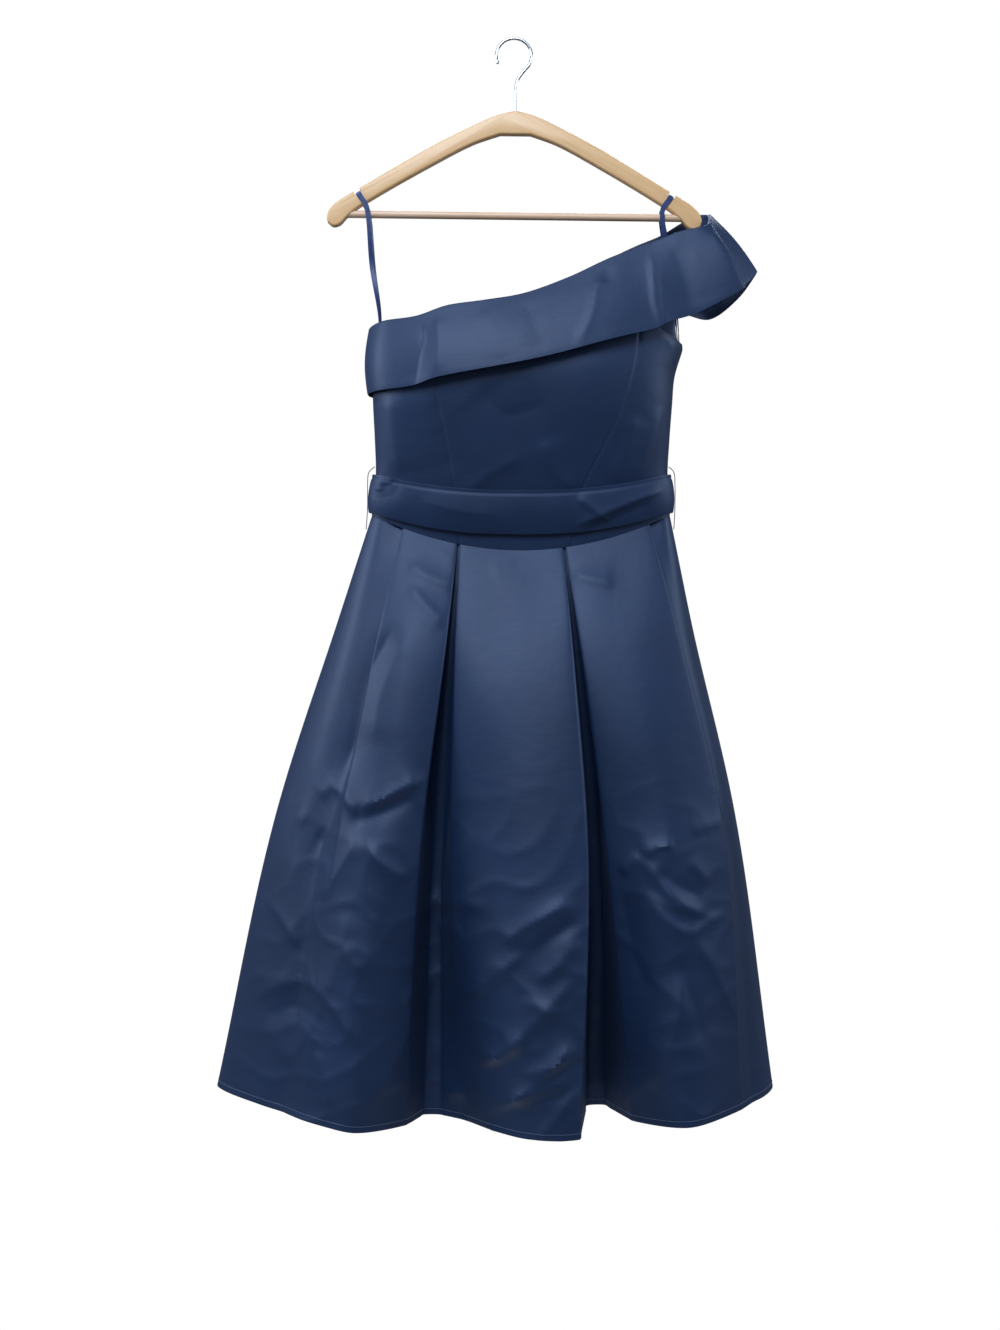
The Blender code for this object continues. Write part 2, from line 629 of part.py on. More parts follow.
def pleat_points(lip, panel, under, t, inward):
    """The points that turn the cloth back under a lip and on to its underlay, from lip to underlay.

    panel is the next fold's place on the panel's side of the lip, and under the next one on the other side.
    """
    openness = min(t / PLEAT_OPEN_BY, 1.0)
    openness = openness * openness * (3.0 - 2.0 * openness)
    radius = LAYER_PITCH / 2.0 * (1.0 + PLEAT_LOOSENS * openness)
    back = (panel - lip) / np.linalg.norm(panel - lip)
    deep = np.array([-back[1], back[0]])
    if deep[1] * inward < 0.0:
        deep = -deep
    shut_points = (
        (radius, 0.0),
        (0.0, radius),
        (radius, 2.0 * radius),
        (PLEAT_RETURN, 2.0 * radius),
        (PLEAT_RETURN + radius, 3.0 * radius),
        (PLEAT_RETURN, 4.0 * radius),
    )
    open_shares = (0.0, 0.08, 0.20, 0.45, 0.62, 0.80)
    points = []
    for (run, drop), share in zip(shut_points, open_shares):
        shut = lip + back * run + deep * drop
        points.append(shut * (1.0 - openness) + (lip + (under - lip) * share) * openness)
    return points


def skirt_ring(t):
    """Points of one ring of the skirt, with the ring's place of each table row."""
    table = [(row, True) for row in SKIRT_FRONT] + [(row, False) for row in SKIRT_BACK]
    places = [fold_place(row, t, front) for row, front in table]
    points, steps, starts = [], [], []
    for i, (row, front) in enumerate(table):
        starts.append(sum(steps))
        place = places[i]
        if row.faces:
            inward = 1.0 if front else -1.0
            under, panel = places[i + row.faces], places[i - row.faces]
            group = pleat_points(place, panel, under, t, inward)
            spans = [1, 1, 2, 1, 1]
            if row.faces < 0:
                group, spans = group[::-1], spans[::-1]
            points += group
            steps += spans + [2 if row.faces > 0 else 4]
        else:
            if "underlay" in row.name:
                drop = 2.0 * LAYER_PITCH * (1.0 - t) ** 8
                place = place + np.array([0.0, drop if front else -drop])
            points.append(place)
            next_faces = table[(i + 1) % len(table)][0].faces
            steps.append(4 if next_faces > 0 else 2)
    return smooth_ring(points, steps), starts


def skirt_surface():
    """Middle surface of the whole skirt, and the column where each table row starts."""
    rows = []
    for t in SKIRT_ROWS:
        ring, starts = skirt_ring(t)
        shoulder_seam, bare_seam = starts[len(SKIRT_FRONT)], 0
        low, high = ring[bare_seam, 0], ring[shoulder_seam, 0]
        share = np.clip((ring[:, 0] - (low + high) / 2.0) / ((high - low) / 2.0), -1.0, 1.0)
        front = np.arange(len(ring)) < shoulder_seam
        waist_sag = np.where(front, FRONT_WAIST_SAG, BACK_WAIST_SAG)
        hem_sag = np.where(front, FRONT_HEM_SAG, BACK_HEM_SAG)
        dip = (waist_sag + (hem_sag - waist_sag) * t) * (1.0 - share**2)
        rows.append(np.column_stack([ring, WAIST + (HEM - WAIST) * t - dip]))
    grid = np.array(rows)
    grid[0, :, 2] -= SEAM_GAP / 2.0
    return grid, starts


def build_skirt():
    """The pleated front and the two back panels."""
    grid, starts = skirt_surface()
    normals = grid_normals(grid, closed=True)
    level_out(normals, 0)
    shoulder_seam = starts[len(SKIRT_FRONT)]
    names = [row.name for row in SKIRT_BACK]
    centre_back = starts[len(SKIRT_FRONT) + names.index("centre_back_seam")]
    add_wall("skirt_front", *cut_piece(grid, normals, 0, shoulder_seam))
    add_wall("skirt_back_shoulder_side", *cut_piece(grid, normals, shoulder_seam, centre_back))
    add_wall("skirt_back_bare_side", *cut_piece(grid, normals, centre_back, grid.shape[1]))
    return grid, centre_back, shoulder_seam


# Belt and its thread loops


def ring_point(place, z, outward):
    """Point round the body at a true height: place runs 0 to 1 across the front and 1 to 2 behind."""
    place %= 2.0
    front = place < 1.0
    turn = place if front else 2.0 - place
    across = -math.copysign(abs(math.cos(math.pi * turn)) ** (2.0 / SQUARENESS), math.cos(math.pi * turn))
    height = z
    for _ in range(40):
        height = z + sag(across, height, front)
    return body_point(turn, max(height, WAIST), front, outward)


def build_belt():
    """The sash, from its inner end round to the outer end that laps over it."""
    grid = np.empty((BELT_ROWS, BELT_COLUMNS, 3))
    for i in range(BELT_COLUMNS):
        share = i / (BELT_COLUMNS - 1)
        place = BELT_START + (2.0 + BELT_LAP) * share
        turn = place % 2.0
        front = turn < 1.0
        middle = math.sin(math.pi * turn) ** 2
        top = BELT_TOP - (BELT_FRONT_SAG if front else BELT_BACK_SAG) * middle
        width = BELT_SIDE_WIDTH + (BELT_FRONT_WIDTH - BELT_SIDE_WIDTH) * (middle if front else 0.0)
        climb = min(max((place - BELT_START - 1.75) / 0.2, 0.0), 1.0)
        lift = BELT_LIFT * climb * climb * (3.0 - 2.0 * climb)
        for j in range(BELT_ROWS):
            down = j / (BELT_ROWS - 1)
            bulge = BELT_BULGE * (1.0 - (2.0 * down - 1.0) ** 2)
            grid[j, i] = ring_point(place, top - width * down, BELT_STAND_OFF + lift + bulge)
    add_wall("belt", grid, grid_normals(grid), wall=BELT_WALL)


def side_x(line, z):
    """X of a side seam at a height."""
    return float(np.interp(z, line[::-1, 2], line[::-1, 0]))


def thread_path(side, bodice_side, skirt_side):
    """The thread's line at a side seam, out over the belt and back to the cloth below it."""
    seat = WALL / 2.0 + SEAM_GAP + THREAD_RADIUS
    belt_out = BELT_STAND_OFF + BELT_BULGE + BELT_WALL / 2.0 + THREAD_CLEARANCE + THREAD_RADIUS
    belt_side = abs(side_x(bodice_side, BELT_TOP - 0.022))
    high = side_x(bodice_side, THREAD_TOP) + side * seat
    low = side_x(skirt_side, THREAD_BOTTOM) + side * (seat + SEAM_GAP)
    out = side * (belt_side + belt_out)
    points = [
        (high, THREAD_TOP),
        (high + (out - high) * 0.35, THREAD_TOP - 0.0020),
        (high + (out - high) * 0.85, THREAD_TOP - 0.0070),
        (out, BELT_TOP - 0.012),
        (out, BELT_TOP - 0.036),
        (out + (low - out) * 0.4, BELT_TOP - 0.050),
        (low, THREAD_BOTTOM),
    ]
    path = smooth_path(points, (2, 2, 3, 2, 3, 3))
    return [(x, 0.0, z) for x, z in path]


# Zip


def build_zip(back_seam, skirt_seam):
    """Closed zip tapes with the coil between them, inside the centre-back seam."""
    line = list(back_seam) + list(skirt_seam[1:ZIP_SKIRT_ROWS])
    line[0] = line[0] + np.array([0.0, 0.0, -0.002])
    tape_out = -(WALL / 2.0 + SEAM_GAP)
    half_coil = ZIP_COIL_WIDTH / 2.0
    half_tape = ZIP_TAPE_WIDTH / 2.0
    columns = (-half_tape, -half_coil - 0.0004, -half_coil, half_coil, half_coil + 0.0004, half_tape)
    outer = np.empty((len(line), len(columns), 3))
    inner = np.empty_like(outer)
    for j, point in enumerate(line):
        for i, x in enumerate(columns):
            thickness = ZIP_COIL_THICKNESS if abs(x) <= half_coil else ZIP_TAPE_THICKNESS
            face = point + np.array([x, tape_out - 0.0006 * abs(x) / half_tape, 0.0])
            outer[j, i] = face
            inner[j, i] = face + np.array([0.0, -thickness, 0.0])
    add_object("back_zip", solid_between("back_zip", outer, inner), "zip")


def box_mesh(name, size, bevel):
    """A box of that size about its own middle, with rounded edges."""
    mesh = bmesh.new()
    bmesh.ops.create_cube(mesh, size=1.0)
    bmesh.ops.scale(mesh, vec=size, verts=mesh.verts)
    bmesh.ops.bevel(mesh, geom=mesh.edges, offset=bevel, segments=1, affect="EDGES")
    data = bpy.data.meshes.new(name)
    mesh.to_mesh(data)
    mesh.free()
    data.shade_smooth()
    data.set_sharp_from_angle(angle=math.radians(35.0))
    return data


def build_slider(seam):
    """The slider's flat pull, lying on the seam under the folded band."""
    size = (PULL_WIDTH, PULL_THICKNESS, PULL_LENGTH)
    pull = add_object("zip_slider", box_mesh("zip_slider", size, 0.0004), "zip")
    middle = np.array([np.interp(seam[0, 2] - PULL_DROP, seam[::-1, 2], seam[::-1, k]) for k in range(3)])
    lean = math.atan2(seam[1, 1] - seam[0, 1], seam[0, 2] - seam[1, 2])
    off = WALL / 2.0 + SEAM_GAP + PULL_THICKNESS / 2.0
    pull.location = Vector(middle) + Vector((0.0, off / math.cos(lean), 0.0))
    pull.rotation_euler = (lean, 0.0, 0.0)


# Hanger


def hung(x, y, z):
    """A point of the hanger, drawn about its own centre, where it hangs."""
    return Matrix.Rotation(HANGER_TILT, 3, "Y") @ Vector((x + HANGER_SHIFT, y, z))


def hanger_matrix(x, y, z):
    """Placement of a piece at a point of the hanger, turned with it."""
    return Matrix.Translation(hung(x, y, z)) @ Matrix.Rotation(HANGER_TILT, 4, "Y")


def arms_outline():
    """The arms' outline in the plane of the hanger, in order round the edge."""
    upper = smooth_path(ARM_UPPER_EDGE, (2, 2, 1, 1, 1, 1, 1, 2, 2))
    lower = smooth_path(ARM_LOWER_EDGE, (2, 2, 1, 1, 1, 1, 1, 2))
    half = [tuple(p) for p in upper] + [tuple(p) for p in lower]
    mirrored = [(-x, z) for x, z in reversed(half[1:])]
    return half + mirrored


def add_cutter(name, data, matrix, target):
    """Cuts a shape out of a piece."""
    cutter = bpy.data.objects.new(name, data)
    bpy.context.scene.collection.objects.link(cutter)
    cutter.matrix_world = matrix
    cutter.hide_render = True
    cutter.display_type = "WIRE"
    cut = target.modifiers.new(name, "BOOLEAN")
    cut.operation = "DIFFERENCE"
    cut.solver = "EXACT"
    cut.object = cutter


def rod_mesh(name, radius, length, sides):
    """A closed cylinder along Z about its own middle."""
    mesh = bmesh.new()
    bmesh.ops.create_cone(
        mesh, cap_ends=True, segments=sides, radius1=radius, radius2=radius, depth=length
    )
    data = bpy.data.meshes.new(name)
    mesh.to_mesh(data)
    mesh.free()
    data.shade_smooth()
    data.set_sharp_from_angle(angle=math.radians(35.0))
    return data


def build_hanger():
    """The arms with their notches, the bar in its blind holes and the hook in its bore."""
    mesh = bmesh.new()
    outline = [mesh.verts.new((x, -HANGER_THICKNESS / 2.0, z)) for x, z in arms_outline()]
    face = mesh.faces.new(outline)
    grown = bmesh.ops.extrude_face_region(mesh, geom=[face])
    raised = [v for v in grown["geom"] if isinstance(v, bmesh.types.BMVert)]
    bmesh.ops.translate(mesh, vec=(0.0, HANGER_THICKNESS, 0.0), verts=raised)
    bmesh.ops.recalc_face_normals(mesh, faces=mesh.faces)
    data = bpy.data.meshes.new("hanger_arms")
    mesh.to_mesh(data)
    mesh.free()
    data.shade_smooth()
    data.set_sharp_from_angle(angle=math.radians(40.0))
    arms = add_object("hanger_arms", data, "beech")
    arms.matrix_world = hanger_matrix(0.0, 0.0, 0.0)
    rounding = arms.modifiers.new("rounded_edges", "BEVEL")
    rounding.width = EDGE_ROUNDING
    rounding.segments = 2
    rounding.limit_method = "ANGLE"
    rounding.angle_limit = math.radians(50.0)

    bar_length = 2.0 * BAR_HALF_LENGTH
    lying = Matrix.Rotation(math.radians(90.0), 4, "Y")
    hole = rod_mesh("bar_holes", BAR_RADIUS + SEAM_GAP, bar_length + 2.0 * SEAM_GAP, BAR_SIDES)
    add_cutter("bar_holes", hole, hanger_matrix(0.0, 0.0, BAR_HEIGHT) @ lying, arms)
    bore_radius = WIRE_RADIUS + SEAM_GAP
    bore = rod_mesh("hook_bore", bore_radius, 2.0 * HOOK_BORE_DEPTH, 12)
    add_cutter("hook_bore", bore, hanger_matrix(0.0, 0.0, ARM_UPPER_EDGE[0][1]), arms)
    for side in (-1.0, 1.0):
        slot = bmesh.new()
        bmesh.ops.create_cube(slot, size=1.0)
        size = (NOTCH_WIDTH, HANGER_THICKNESS * 2.0, NOTCH_DEPTH * 2.0)
        bmesh.ops.scale(slot, vec=size, verts=slot.verts)
        shape = bpy.data.meshes.new("notch")
        slot.to_mesh(shape)
        slot.free()
        lean = Matrix.Rotation(side * ARM_SLOPE, 4, "Y")
        place = hanger_matrix(side * NOTCH_X, 0.0, upper_edge_at(NOTCH_X)) @ lean
        add_cutter("notch_bare_side" if side < 0 else "notch_shoulder_side", shape, place, arms)

    bar = add_object("hanger_bar", rod_mesh("hanger_bar", BAR_RADIUS, bar_length, BAR_SIDES), "beech")
    bar.matrix_world = hanger_matrix(0.0, 0.0, BAR_HEIGHT) @ lying
    add_wire("hanger_hook", hook_path(), WIRE_RADIUS, 2, "steel")


def upper_edge_at(x):
    """Height of the arms' upper edge at x."""
    return float(read_curve([p[0] for p in ARM_UPPER_EDGE], [p[1] for p in ARM_UPPER_EDGE], x))


def hook_path():
    """The wire's line, from the bottom of its bore, up the shank and round the hook."""
    radius = HOOK_INNER_RADIUS + WIRE_RADIUS
    apex = ARM_UPPER_EDGE[0][1]
    shank = [hung(0.0, 0.0, apex - HOOK_BORE_DEPTH + SEAM_GAP), hung(0.0, 0.0, apex + 0.004)]
    shank += [Vector((0.0020, 0.0, -0.0600)), Vector((0.0040, 0.0, -0.0480))]
    turns = np.linspace(HOOK_START, HOOK_END, 22)
    arc = [Vector((radius * math.cos(a), 0.0, radius * math.sin(a) - HOOK_INNER_RADIUS)) for a in turns]
    lead_in = smooth_path(shank + arc[:2], (1, 3, 3, 3, 1))
    return list(lead_in) + arc[2:]


# Ribbon loops


def ribbon_surface(side, wall_line, lean_in):
    """Middle surface of a loop: up from the side seam, over its notch in the arm, and down again behind."""
    seat = RIBBON_THICKNESS / 2.0 + SEAM_GAP
    deep = NOTCH_DEPTH - seat
    edge = upper_edge_at(NOTCH_X)
    over = hung(side * (NOTCH_X - math.sin(ARM_SLOPE) * deep), 0.0, edge - math.cos(ARM_SLOPE) * deep)
    over = np.array(over)
    face = HANGER_THICKNESS / 2.0 + seat
    slope = ARM_SLOPE * side + HANGER_TILT
    along_arm = np.array([math.cos(slope), 0.0, -math.sin(slope)])
    down_arm = np.array([-math.sin(slope), 0.0, -math.cos(slope)])

    def seam_x(z):
        return float(np.interp(z, wall_line[::-1, 2], wall_line[::-1, 0])) - side * (WALL / 2.0 + seat + RIBBON_SLACK)

    strands = []
    for front in (-1.0, 1.0):
        near_wall = front < 0.0
        inset = 0.0 if near_wall else RIBBON_STRANDS_APART
        start = over + np.array([0.0, front * face, 0.0]) + down_arm * 0.020
        neck = np.array([seam_x(-0.352) - side * (lean_in + inset), front * 0.0012, -0.338])
        middle = (start + neck) / 2.0 + np.array([side * 0.001, front * 0.0016, 0.0])
        foot_top = np.array([seam_x(RIBBON_FOOT_TOP) - side * inset, 0.0, RIBBON_FOOT_TOP])
        foot = np.array([seam_x(RIBBON_FOOT_BOTTOM) - side * inset, 0.0, RIBBON_FOOT_BOTTOM])
        centres = [
            over + np.array([0.0, front * (face - seat), 0.0]),
            over + np.array([0.0, front * (face - seat * 0.25), 0.0]) + down_arm * seat * 0.25,
            over + np.array([0.0, front * face, 0.0]) + down_arm * seat * 1.2,
            over + np.array([0.0, front * face, 0.0]) + down_arm * 0.0060,
            start,
            middle,
            neck,
            foot_top,
            foot,
        ]
        path = smooth_path(centres, (1, 1, 1, 1, 4, 4, 3, 1))
        lengths = np.concatenate([[0.0], np.cumsum(np.linalg.norm(np.diff(path, axis=0), axis=1))])
        shares = np.clip((lengths - 0.026) / (lengths[-1] - 0.026 - 0.016), 0.0, 1.0)
        turns = math.pi / 2.0 * shares * shares * (3.0 - 2.0 * shares)
        fall = np.clip((lengths - 0.018) / 0.030, 0.0, 1.0)[:, None]
        level = np.array([1.0, 0.0, 0.0])
        arm_part = along_arm * (1.0 - fall) + level * fall
        widths = arm_part * np.cos(turns)[:, None] + np.array([0.0, side, 0.0]) * np.sin(turns)[:, None]
        strands.append((path, widths / np.linalg.norm(widths, axis=1, keepdims=True)))
    (front_path, front_widths), (back_path, back_widths) = strands
    path = np.concatenate([front_path[::-1], [over], back_path])
    widths = np.concatenate([front_widths[::-1], [along_arm], back_widths])
    half = widths * RIBBON_WIDTH / 2.0
    return np.array([path - half, path + half])


def build_ribbon(name, side, wall_line, lean_in):
    """One hanger loop."""
    grid = ribbon_surface(side, wall_line, lean_in)
    add_wall(name, grid, grid_normals(grid), "ribbon", RIBBON_THICKNESS)


def clear_scene():
    """Removes whatever the file holds."""
    for thing in list(bpy.data.objects):
        bpy.data.objects.remove(thing)


def main():
    clear_scene()
    front, back, centre = build_bodice()
    build_band()
    skirt, centre_back, shoulder_seam = build_skirt()
    build_belt()
    bare_side, shoulder_side = front[:, 0], front[len(ROWS_ABOVE_UNDERARM) - 1 :, -1]
    bare_thread = thread_path(-1.0, bare_side, skirt[:, 0])
    shoulder_thread = thread_path(1.0, shoulder_side, skirt[:, shoulder_seam])
    add_wire("belt_loop_bare_side", bare_thread, THREAD_RADIUS, 1, "thread")
    add_wire("belt_loop_shoulder_side", shoulder_thread, THREAD_RADIUS, 1, "thread")
    build_zip(back[:, centre], skirt[:, centre_back])
    build_slider(back[:, centre])
    build_hanger()
    build_ribbon("hanger_loop_bare_side", -1.0, bare_side, 0.0070)
    build_ribbon("hanger_loop_shoulder_side", 1.0, shoulder_side, 0.0030)


main()
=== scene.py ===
# %% [markdown]
# A one-shoulder dress of navy duchess satin on a wooden hanger.
#
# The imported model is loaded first, as a fixed frame. Its solids are plain walls, so each cloth
# piece is drawn again here as a thin shell on the same form, with far more points, and gets its
# seams, folds and creases. Everything is in metres, with the front at -Y and the single shoulder at
# +X.

# %% Load the frame
import math
from collections import namedtuple

import bpy
import numpy as np
from mathutils import Matrix, Vector


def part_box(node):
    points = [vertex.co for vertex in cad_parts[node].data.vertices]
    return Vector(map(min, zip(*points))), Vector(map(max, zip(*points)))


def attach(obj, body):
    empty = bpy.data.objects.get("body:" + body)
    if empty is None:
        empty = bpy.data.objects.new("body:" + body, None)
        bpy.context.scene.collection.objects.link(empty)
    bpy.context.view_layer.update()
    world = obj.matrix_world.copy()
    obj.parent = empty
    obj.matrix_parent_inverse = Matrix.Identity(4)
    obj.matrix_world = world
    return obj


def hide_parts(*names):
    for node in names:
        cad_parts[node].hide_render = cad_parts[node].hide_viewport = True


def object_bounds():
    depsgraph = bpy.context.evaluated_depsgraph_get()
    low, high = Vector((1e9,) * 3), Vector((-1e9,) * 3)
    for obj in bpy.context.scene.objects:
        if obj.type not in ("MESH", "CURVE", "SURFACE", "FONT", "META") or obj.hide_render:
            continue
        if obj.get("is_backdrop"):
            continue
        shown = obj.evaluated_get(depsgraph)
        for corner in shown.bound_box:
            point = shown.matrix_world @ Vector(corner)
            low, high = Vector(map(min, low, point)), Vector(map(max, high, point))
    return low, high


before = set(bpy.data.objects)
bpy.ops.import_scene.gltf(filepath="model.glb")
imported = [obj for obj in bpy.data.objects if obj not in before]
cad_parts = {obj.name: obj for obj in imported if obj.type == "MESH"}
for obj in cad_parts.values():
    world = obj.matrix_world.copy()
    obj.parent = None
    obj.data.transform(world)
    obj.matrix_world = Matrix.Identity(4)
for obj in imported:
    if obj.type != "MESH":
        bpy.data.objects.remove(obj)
cad_low, cad_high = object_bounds()
MM = 0.001
print("frame:", len(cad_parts), "nodes, height", round((cad_high.z - cad_low.z) / MM), "mm")

# %% [markdown]
# The camera comes first, because every comparison with the photograph depends on it. The hanger is
# a standard 445 mm wide, which gives 1.183 mm to a pixel two metres away. A lens on a 36 mm high
# sensor follows from that.

# %% Camera
PHOTO_HEIGHT_PX = 1330
MM_PER_PX = 1.183
CAMERA_DISTANCE = 2.0
SENSOR = 36.0


def add_camera():
    """A level camera in front of the dress, with the photograph's framing."""
    data = bpy.data.cameras.new("camera")
    data.sensor_fit = "VERTICAL"
    data.sensor_height = SENSOR
    data.lens = SENSOR * CAMERA_DISTANCE / (PHOTO_HEIGHT_PX * MM_PER_PX * MM)
    camera = bpy.data.objects.new("camera", data)
    camera.location = (-0.0166, -CAMERA_DISTANCE, -0.7394)
    camera.rotation_euler = (math.radians(90.0), 0.0, 0.0)
    bpy.context.scene.collection.objects.link(camera)
    bpy.context.scene.camera = camera
    print("lens", round(data.lens, 2), "mm")


add_camera()

# %% [markdown]
# Colours are easier to match as the hex values that a screen shows. Blender mixes light in linear
# values, so one function turns the one into the other. A second small function adds any shader node
# with its settings and links, which keeps each material short.

# %% Colour and node helpers


def linear(hex_colour):
    """A linear RGBA colour from an sRGB hex value."""
    channels = [int(hex_colour[i : i + 2], 16) / 255.0 for i in (1, 3, 5)]
    return (*(c / 12.92 if c <= 0.04045 else ((c + 0.055) / 1.055) ** 2.4 for c in channels), 1.0)


def add(tree, kind, inputs=None, **settings):
    """Adds a node. Each input is given by its name or number, as a value or as the socket that feeds it."""
    node = tree.nodes.new(kind)
    for name, value in settings.items():
        setattr(node, name, value)
    for name, value in (inputs or {}).items():
        if isinstance(value, bpy.types.NodeSocket):
            tree.links.new(value, node.inputs[name])
        else:
            node.inputs[name].default_value = value
    return node


def new_material(name):
    """An empty material, with its tree, its shader and its output joined."""
    material = bpy.data.materials.new(name)
    material.use_nodes = True
    tree = material.node_tree
    tree.nodes.clear()
    shader = add(tree, "ShaderNodeBsdfPrincipled")
    add(tree, "ShaderNodeOutputMaterial", {"Surface": shader.outputs["BSDF"]})
    return material, tree, shader


print("navy is", [round(c, 3) for c in linear("#14233f")])

# %% [markdown]
# The cloth is duchess satin, woven from polyester: a heavy, smooth cloth whose fine crosswise ribs
# catch the light in faint level lines. A rib is about 0.3 mm, too fine to show, so it is drawn at
# 1.8 mm. The ribs follow the cloth through its own UV map, which is in metres along and down each
# piece. The long soft gleam comes from roughness and a little sheen, and slubs are drawn as noise
# stretched along the weft.

# %% Satin
RIB_SPACING = 1.8 * MM
SLUB_LENGTH = 60.0 * MM
SLUB_WIDTH = 1.2 * MM
DIMPLE = 14.0 * MM
WAVE_PERIOD = 2.0 * math.pi / 20.0
UV_NAME = "weave"

# A Mix node has a socket of each kind for A and B, so these are picked by number: numbers first, then colours
MIX_A, MIX_B = 2, 3
TONE_A, TONE_B, TONE_RESULT = 6, 7, 2


def satin(name, colour, gleam, roughness=0.43, rib=RIB_SPACING):
    """Woven satin: dark in the weft's shadows, with level ribs and slubs."""
    material, tree, shader = new_material(name)
    uv = add(tree, "ShaderNodeUVMap", uv_map=UV_NAME).outputs["UV"]
    stretch = (1.0 / SLUB_LENGTH, 1.0 / SLUB_WIDTH, 1.0)
    slub_place = add(tree, "ShaderNodeMapping", {"Vector": uv, "Scale": stretch}).outputs["Vector"]
    slubs = add(tree, "ShaderNodeTexNoise", {"Vector": slub_place, "Scale": 1.0, "Detail": 2.0})
    ribs = add(
        tree,
        "ShaderNodeTexWave",
        {"Vector": uv, "Scale": WAVE_PERIOD / rib, "Distortion": 0.6, "Detail": 1.0, "Detail Scale": 0.4},
        bands_direction="Y",
    )
    place = add(tree, "ShaderNodeTexCoord").outputs["Object"]
    cloudy = add(tree, "ShaderNodeTexNoise", {"Vector": place, "Scale": 9.0, "Detail": 2.0})
    dimples = add(tree, "ShaderNodeTexNoise", {"Vector": place, "Scale": 1.0 / DIMPLE, "Detail": 3.0})
    shade = add(
        tree,
        "ShaderNodeMix",
        {"Factor": 0.45, MIX_A: slubs.outputs["Fac"], MIX_B: cloudy.outputs["Fac"]},
        data_type="FLOAT",
    )
    ramp = add(tree, "ShaderNodeMapRange", {"From Min": 0.3, "From Max": 0.7, "Value": shade.outputs[0]})
    tones = {"Factor": ramp.outputs["Result"], TONE_A: linear(colour), TONE_B: linear(gleam)}
    mix = add(tree, "ShaderNodeMix", tones, data_type="RGBA")
    tree.links.new(mix.outputs[TONE_RESULT], shader.inputs["Base Color"])
    rough = add(tree, "ShaderNodeMapRange", {"Value": slubs.outputs["Fac"]})
    rough.inputs["To Min"].default_value = roughness - 0.05
    rough.inputs["To Max"].default_value = roughness + 0.05
    tree.links.new(rough.outputs["Result"], shader.inputs["Roughness"])
    soft_bump = {"Height": dimples.outputs["Fac"], "Strength": 0.25, "Distance": 1.2 * MM}
    soft = add(tree, "ShaderNodeBump", soft_bump)
    slub_bump = {"Height": slubs.outputs["Fac"], "Strength": 0.35, "Distance": 0.12 * MM}
    slubby = add(tree, "ShaderNodeBump", {**slub_bump, "Normal": soft.outputs["Normal"]})
    rib_bump = {"Height": ribs.outputs["Fac"], "Strength": 0.3, "Distance": 0.06 * MM}
    ribbed = add(tree, "ShaderNodeBump", {**rib_bump, "Normal": slubby.outputs["Normal"]})
    tree.links.new(ribbed.outputs["Normal"], shader.inputs["Normal"])
    shader.inputs["IOR"].default_value = 1.5
    shader.inputs["Specular IOR Level"].default_value = 0.75
    shader.inputs["Specular Tint"].default_value = linear("#c4d1ee")
    shader.inputs["Sheen Weight"].default_value = 0.05
    shader.inputs["Sheen Roughness"].default_value = 0.45
    shader.inputs["Sheen Tint"].default_value = linear("#8fa0d0")
    return material


NAVY_SATIN = satin("polyester_duchess_satin_navy", "#0e2240", "#132b4e", 0.54)
RIBBON_SATIN = satin("narrow_satin_ribbon_blue", "#16264f", "#1e3268", 0.36, 1.0 * MM)
print("satin ribs every", RIB_SPACING / MM, "mm")

# %% [markdown]
# A garment is cut from flat pieces, but it is easier to describe by the form that it hangs in. A
# short table gives the body's section at each height, and a smooth curve reads between the rows.
# Hermite curves are used, as they pass through every named size, where a spline with control points
# would only come near them.

# %% Smooth curves


def slopes_of(places, values):
    """Slopes of a smooth curve through values, each from the spans on both sides of it."""
    spans = np.diff(places)[:, None]
    rises = np.diff(values, axis=0) / spans
    inner = (rises[:-1] * spans[1:] + rises[1:] * spans[:-1]) / (spans[:-1] + spans[1:])
    return np.concatenate([rises[:1], inner, rises[-1:]])


def read_curve(places, values, at):
    """Values of the smooth curve at one place or many."""
    places = np.asarray(places, float)
    values = np.asarray(values, float).reshape(len(places), -1)
    at = np.clip(np.asarray(at, float), places[0], places[-1])
    i = np.clip(np.searchsorted(places, at, side="right") - 1, 0, len(places) - 2)
    span = (places[i + 1] - places[i])[..., None]
    s = (at - places[i])[..., None] / span
    slopes = slopes_of(places, values)
    return (
        (2 * s**3 - 3 * s**2 + 1) * values[i]
        + (s**3 - 2 * s**2 + s) * span * slopes[i]
        + (3 * s**2 - 2 * s**3) * values[i + 1]
        + (s**3 - s**2) * span * slopes[i + 1]
    )


def along_path(points, at):
    """Points of the smooth curve through points, where at 2.5 is halfway from the third to the fourth."""
    points = np.asarray(points, float)
    lengths = np.linalg.norm(np.diff(points, axis=0), axis=1)
    places = np.concatenate([[0.0], np.cumsum(np.maximum(lengths, 1e-5) ** 0.5)])
    return read_curve(places, points, np.interp(at, np.arange(len(places)), places))


def along_ring(points, at):
    """Points of the smooth closed curve through points."""
    return along_path(np.concatenate([points[-3:], points, points[:3]]), np.asarray(at) + 3.0)


def ease(share):
    """A share that starts and ends gently, held between 0 and 1."""
    share = np.clip(share, 0.0, 1.0)
    return share * share * (3.0 - 2.0 * share)


def unit(vectors):
    """Vectors of length one."""
    return vectors / np.maximum(np.linalg.norm(vectors, axis=-1, keepdims=True), 1e-12)


halfway_up = float(read_curve([0, 1, 2], [0, 1, 0], 0.5)[0])
print("a curve through 0, 1, 0 reads", round(halfway_up, 3), "halfway up")

# %% [markdown]
# The body of the dress is a little squarer than an oval, because it hangs nearly flat. The same
# table serves the bodice, the neckline and the belt, so they always fit each other. At the waist
# the front seam dips, and less so the back one, as a loose waist does on a hanger.

